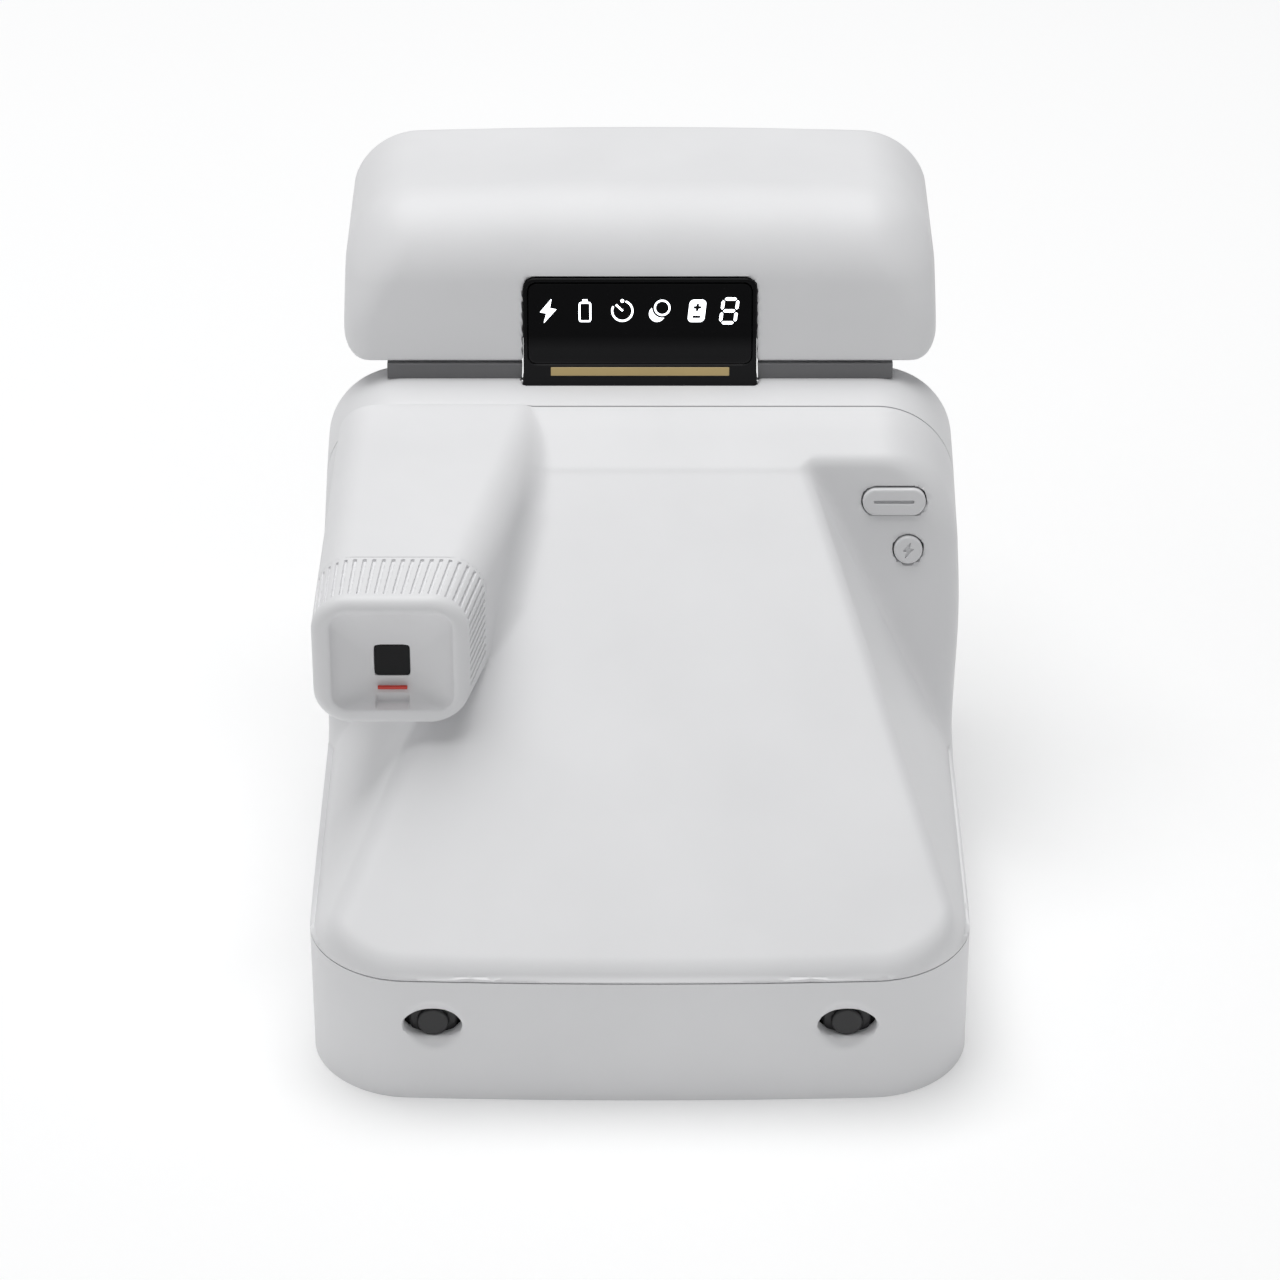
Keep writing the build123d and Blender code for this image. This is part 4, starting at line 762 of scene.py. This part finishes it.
def panel_coordinates(y, z):
    """Place up the rear face of the lid and height above it."""
    dy, dz = y - LID_REAR, z - LID_BOTTOM
    return dy * panel_up.y + dz * panel_up.z, dy * panel_out.y + dz * panel_out.z


def lid_side(x, z):
    return np.abs(x) - lid_high.x + LID_DRAFT * np.maximum(z - LID_BOTTOM - 4, 0)


def lid_outer(x, y, z):
    """Outer surface of the open lid, without a lower end."""
    rear = half_space(x, y, z, (0, LID_REAR, LID_BOTTOM), tuple(panel_out))
    radius = LID_SIDE_R + LID_SIDE_GAIN * eased((z - LID_BOTTOM - 5) / 16)
    walls = round_max(lid_side(x, z), rear, radius)
    top = z - LID_TOP + LID_BOW * (x / lid_high.x) ** 2
    return round_max(round_max(walls, top, LID_TOP_R), y - lid_high.y, LID_FRONT_R)


def lid_field(x, y, z):
    """Lid shell, open below, for the panel and for the flash."""
    outer = lid_outer(x, y, z)
    shell = np.maximum(outer, -(outer + LID_WALL))
    s, h = panel_coordinates(y, z)
    window = np.maximum(round_max(np.abs(x) - 20.6, s - 15.1, 2.1), np.abs(h) - 5)
    flash = box_field(x, y, z, (-19.6, lid_high.y - 5, 96.2), (19.6, lid_high.y + 3, 107.8), 0.5)
    rim = round_max(lid_side(x, z), LID_BOTTOM - z, LID_RIM_R)
    edge = soft_max(shell, rim, 0.8)
    return np.maximum(edge, -np.minimum(window, flash))


def make_lid():
    lo = (lid_low.x - SKIN_MARGIN, lid_low.y - SKIN_MARGIN, LID_BOTTOM - SKIN_MARGIN)
    hi = (lid_high.x + SKIN_MARGIN, lid_high.y + SKIN_MARGIN, LID_TOP + SKIN_MARGIN)
    lid = mesh_from_field("lid_skin", lid_field, lo, hi, 0.55)
    add_piece(lid, "flip_lid", "white_shell", white, "lid_shell")


make_lid()

# ---------------------------------------------------------------- display panel, icons and stripe
PANEL_HALF = panel_high.x
PANEL_TOP = 15.0
PANEL_PROUD = 0.45
barrel_s = (HINGE[0] - LID_REAR) * panel_up.y + (HINGE[1] - LID_BOTTOM) * panel_up.z
barrel_h = (HINGE[0] - LID_REAR) * panel_out.y + (HINGE[1] - LID_BOTTOM) * panel_out.z
BARREL_R = 2.1
GLASS_LOW = -0.4
STRIPE_HALF, STRIPE_LOW, STRIPE_HIGH = 15.7, -2.42, -0.87


def panel_frame_field(u, s, h):
    """Black bezel that ends in the hinge barrel below, in the panel's own coordinates."""
    top = s - PANEL_TOP
    outline = round_max(np.abs(u) - PANEL_HALF, top, 2.1)
    body = round_max(outline, np.abs(h + 0.8) - 0.8 - PANEL_PROUD, 0.35)
    body = np.maximum(body, barrel_s - s)
    barrel = round_max(np.hypot(s - barrel_s, h - barrel_h) - BARREL_R, np.abs(u) - PANEL_HALF, 0.9)
    web = np.maximum(np.abs(h + 1.2) - 1.2, np.maximum(np.abs(u) - PANEL_HALF + 0.1, s - 3.0))
    web = np.maximum(web, barrel_s - s)
    solid = soft_min(np.minimum(body, web), barrel, 0.6)
    middle, half = (PANEL_TOP - 0.75 + GLASS_LOW) / 2, (PANEL_TOP - 0.75 - GLASS_LOW) / 2
    inner = rounded_rect(u, s - middle, PANEL_HALF - 0.75, half, 1.5)
    well = np.maximum(inner, -h - 0.6)
    pin = np.hypot(s - barrel_s, h - barrel_h) - 1.05
    return np.maximum(soft_max(solid, -well, 0.2), -pin)


def glass_field(u, s, h):
    middle, half = (PANEL_TOP - 0.95 + GLASS_LOW + 0.1) / 2, (PANEL_TOP - 0.95 - GLASS_LOW - 0.1) / 2
    outline = rounded_rect(u, s - middle, PANEL_HALF - 0.9, half, 1.4)
    return round_max(outline, np.abs(h + 0.1) - 0.42, 0.18)


def segment(u, v, across, centre):
    """One bar of a seven-segment digit, with pointed ends."""
    a, b = (u, v) if across else (v, u)
    a, b = a - centre[0 if across else 1], b - centre[1 if across else 0]
    return np.maximum(np.abs(b) - 0.32, np.abs(a) + np.abs(b) - (1.12 if across else 0.9))


def digit_field(u, v):
    u = u - 0.135 * v
    bars = [segment(u, v, True, (0, c)) for c in (-2.12, 0, 2.12)]
    bars += [segment(u, v, False, (a, c)) for a in (-1.27, 1.27) for c in (-1.07, 1.07)]
    return np.minimum.reduce(np.broadcast_arrays(*bars))


def bolt_field(u, v, size=1.0):
    corners = [(0.56, 2.1), (-1.4, -0.22), (-0.28, -0.42), (-0.75, -2.1), (1.4, 0.25), (0.25, 0.45)]
    return polygon(u / size, v / size, corners) * size - 0.08


def battery_field(u, v):
    case = np.abs(rounded_rect(u, v + 0.2, 0.95, 1.65, 0.35)) - 0.2
    return np.minimum(case, rounded_rect(u, v - 1.87, 0.5, 0.22, 0.12))


def timer_field(u, v):
    ring = np.abs(np.hypot(u, v) - 1.78) - 0.21
    angle = np.arctan2(v, u)
    ring = np.maximum(ring, np.minimum(angle - math.radians(72), math.radians(152) - angle) * 1.8)
    dot = np.hypot(u, v - 1.78) - 0.36
    hand = polygon(u, v, [(-1.25, 0.98), (-1.0, 1.22), (0.2, 0.12), (-0.03, -0.12)]) - 0.05
    return np.minimum(np.minimum(ring, dot), hand)


def overlap_field(u, v):
    ring = np.abs(np.hypot(u - 0.5, v - 0.55) - 1.28) - 0.2
    moon = np.maximum(np.hypot(u + 0.42, v + 0.55) - 1.45, 1.75 - np.hypot(u - 0.5, v - 0.55))
    return np.minimum(ring, moon)


def exposure_field(u, v):
    u = u - 0.115 * v
    pill = rounded_rect(u, v, 1.52, 2.05, 0.85)
    across = rounded_rect(u, v - 0.62, 0.62, 0.2, 0.05)
    plus = np.minimum(across, rounded_rect(u, v - 0.62, 0.2, 0.62, 0.05))
    minus = rounded_rect(u, v + 1.05, 0.65, 0.2, 0.05)
    return np.maximum(pill, -np.minimum(plus, minus))


ICONS = [
    (-16.1, bolt_field), (-9.65, battery_field), (-3.1, timer_field),
    (3.4, overlap_field), (10.0, exposure_field), (15.65, digit_field),
]
ICON_S = 9.2


def icons_field(u, s, h):
    fields = [icon(u - at, s - ICON_S) for at, icon in ICONS]
    flat = np.minimum.reduce(np.broadcast_arrays(*fields)) + 0.04
    return np.maximum(flat, np.abs(h - 0.33) - 0.09)


def stripe_field(u, s, h):
    """Printed strip on the face of the panel above the barrel."""
    low, high = (-STRIPE_HALF, STRIPE_LOW, 0.2), (STRIPE_HALF, STRIPE_HIGH, PANEL_PROUD + 0.06)
    return box_field(u, s, h, low, high, 0.08)


def make_panel():
    edge = PANEL_HALF + 0.6
    bezel = mesh_from_field(
        "panel_bezel", panel_frame_field, (-edge, barrel_s - 2.8, -3.4), (edge, PANEL_TOP + 0.6, 1.4), 0.2,
        place=panel_place,
    )
    add_piece(bezel, "flip_lid", "black_gloss", finishes["black_gloss"], "hinge_cover")
    pane = mesh_from_field(
        "display_pane", glass_field, (-edge, GLASS_LOW - 1, -1.2), (edge, PANEL_TOP, 1.0), 0.2,
        place=panel_place,
    )
    add_piece(pane, "flip_lid", "display_glass", finishes["display_glass"], "display_window")
    icons = mesh_from_field(
        "display_icons", icons_field, (-19, 6.2, 0.0), (19, 12.2, 0.7), 0.09, place=panel_place
    )
    add_piece(icons, "flip_lid", "display_glass", glowing("display_light", (0.93, 0.96, 1.0), 2.2))
    stripe = mesh_from_field(
        "panel_stripe", stripe_field, (-16.3, STRIPE_LOW - 0.4, -0.2), (16.3, STRIPE_HIGH + 0.4, 0.9), 0.12,
        place=panel_place,
    )
    add_piece(stripe, "flip_lid", "stripe", finishes["stripe"], "colour_stripe")


make_panel()


# ---------------------------------------------------------------- rear buttons
button_axes = Matrix((button_x, button_up, button_out)).transposed().to_4x4()
button_place = Matrix.Translation(BUTTON_AT) @ button_axes


POWER_CAP = (5.5, 2.45, 2.4)      # half length, half width and corner of the oblong key
FLASH_CAP_R = 2.5
KEY_FOOT = -3.2                   # inner end of both keys, below the wall
FLASH_BOLT_SCALE = 0.62


def power_field(u, v, w):
    cap = plate(w, rounded_rect(u, v, *POWER_CAP), KEY_FOOT, 0.75, 0.5)
    groove = np.maximum(rounded_rect(u, v, 3.5, 0.3, 0.25), -w)
    return soft_max(cap, -groove, 0.2)


def flash_key_field(u, v, w):
    u, v = u - ROUND_AT[0], v - ROUND_AT[1]
    cap = plate(w, np.hypot(u, v) - FLASH_CAP_R, KEY_FOOT, 0.6, 0.45)
    bolt = np.maximum(bolt_field(u, v, FLASH_BOLT_SCALE), 0.1 - w)
    return soft_max(cap, -bolt, 0.08)


def make_buttons():
    power = mesh_from_field(
        "power_key", power_field, (-6, -3, -3.6), (6, 3, 1.2), 0.12, place=button_place
    )
    add_piece(power, "power_button", "button_grey", finishes["button_grey"], "power_button")
    at_u, at_v = ROUND_AT
    flash = mesh_from_field(
        "flash_key", flash_key_field, (at_u - 3, at_v - 3, -3.6), (at_u + 3, at_v + 3, 1.2), 0.1,
        place=button_place,
    )
    add_piece(flash, "flash_button", "button_grey", finishes["button_grey"], "flash_button")


make_buttons()


# ---------------------------------------------------------------- strap studs
STUD_STEPS = [(6.2, 3.9, 1.0), (4.0, 2.9, 0.9), (2.6, 1.9, 0.5)]      # radius, depth, half thickness
STUD_ROOM = 7.2


def stud_field(x, y, z):
    """Stepped black stud behind each oval eyelet."""
    rear = y + HALF_LENGTH
    u, v = np.abs(x) - STUD_X, z - STUD_Z
    from_centre = np.hypot(u, v + 0.3)
    parts = [
        round_max(from_centre - radius, np.abs(rear - depth - half) - half, 0.3)
        for radius, depth, half in STUD_STEPS
    ]
    return np.minimum.reduce(np.broadcast_arrays(*parts))


def make_studs():
    for side, name in ((-1, "left"), (1, "right")):
        lo = (side * STUD_X - STUD_ROOM, -HALF_LENGTH + 1, STUD_Z - STUD_ROOM)
        hi = (side * STUD_X + STUD_ROOM, -HALF_LENGTH + 7, STUD_Z + STUD_ROOM)
        stud = mesh_from_field(f"strap_stud_{name}", stud_field, lo, hi, 0.25)
        add_piece(stud, "camera_body", "black_plastic", black, *(["strap_studs"] if side < 0 else []))


make_studs()

# ---------------------------------------------------------------- floor, light and camera
CAMERA_AT = (0.0, -0.6689, 0.4598)
CAMERA_DOWN = 31.5            # degrees below the horizon
CAMERA_LENS = 127.1
FLOOR_SIZE = 6.0
WORLD_STRENGTH = 0.29
AIM = (0, 0, 0.05)
LIGHTS = [                    # name, place, width and power
    ("top_light", (-0.10, 0.20, 1.3), 1.0, 12.5),
    ("left_light", (-1.1, -0.5, 0.9), 0.8, 0.7),
    ("front_light", (0.3, -1.3, 1.3), 1.2, 0.8),
]


def make_floor():
    """Plain pale floor."""
    size = FLOOR_SIZE
    mesh = bpy.data.meshes.new("floor")
    corners = [(-size, -size, 0), (size, -size, 0), (size, size, 0), (-size, size, 0)]
    mesh.from_pydata(corners, [], [(0, 1, 2, 3)])
    floor = bpy.data.objects.new("floor", mesh)
    bpy.context.scene.collection.objects.link(floor)
    material, tree, shader = new_material("floor_paint")
    cloud = noise(tree, 3, 2.0)
    stops = [(0.3, (0.90, 0.90, 0.90)), (0.7, (0.92, 0.92, 0.92))]
    tree.links.new(ramp(tree, cloud, stops), shader.inputs["Base Color"])
    shader.inputs["Roughness"].default_value = 0.9
    shader.inputs["Specular IOR Level"].default_value = 0.1
    shader.inputs["Emission Color"].default_value = (1, 1, 1, 1)
    shader.inputs["Emission Strength"].default_value = 0.15
    mesh.materials.append(material)


def add_light(name, place, target, width, power):
    """Soft square light that looks at a point."""
    data = bpy.data.lights.new(name, "AREA")
    data.shape = "SQUARE"
    data.size = width
    data.energy = power
    light = bpy.data.objects.new(name, data)
    light.location = place
    light.rotation_mode = "QUATERNION"
    light.rotation_quaternion = (Vector(target) - Vector(place)).to_track_quat("-Z", "Y")
    bpy.context.scene.collection.objects.link(light)


def make_light():
    world = bpy.data.worlds.new("studio")
    world.use_nodes = True
    world.node_tree.nodes["Background"].inputs["Color"].default_value = (0.98, 0.99, 1.0, 1)
    world.node_tree.nodes["Background"].inputs["Strength"].default_value = WORLD_STRENGTH
    bpy.context.scene.world = world
    for name, place, width, power in LIGHTS:
        add_light(name, place, AIM, width, power)
    bpy.context.scene.view_settings.view_transform = "Standard"


def make_camera():
    data = bpy.data.cameras.new("camera")
    data.sensor_width = 36.0
    data.lens = CAMERA_LENS
    data.clip_start, data.clip_end = 0.01, 50.0
    camera = bpy.data.objects.new("camera", data)
    camera.location = CAMERA_AT
    camera.rotation_euler = (math.radians(90 - CAMERA_DOWN), 0, 0)
    bpy.context.scene.collection.objects.link(camera)
    bpy.context.scene.camera = camera


make_floor()
make_light()
make_camera()
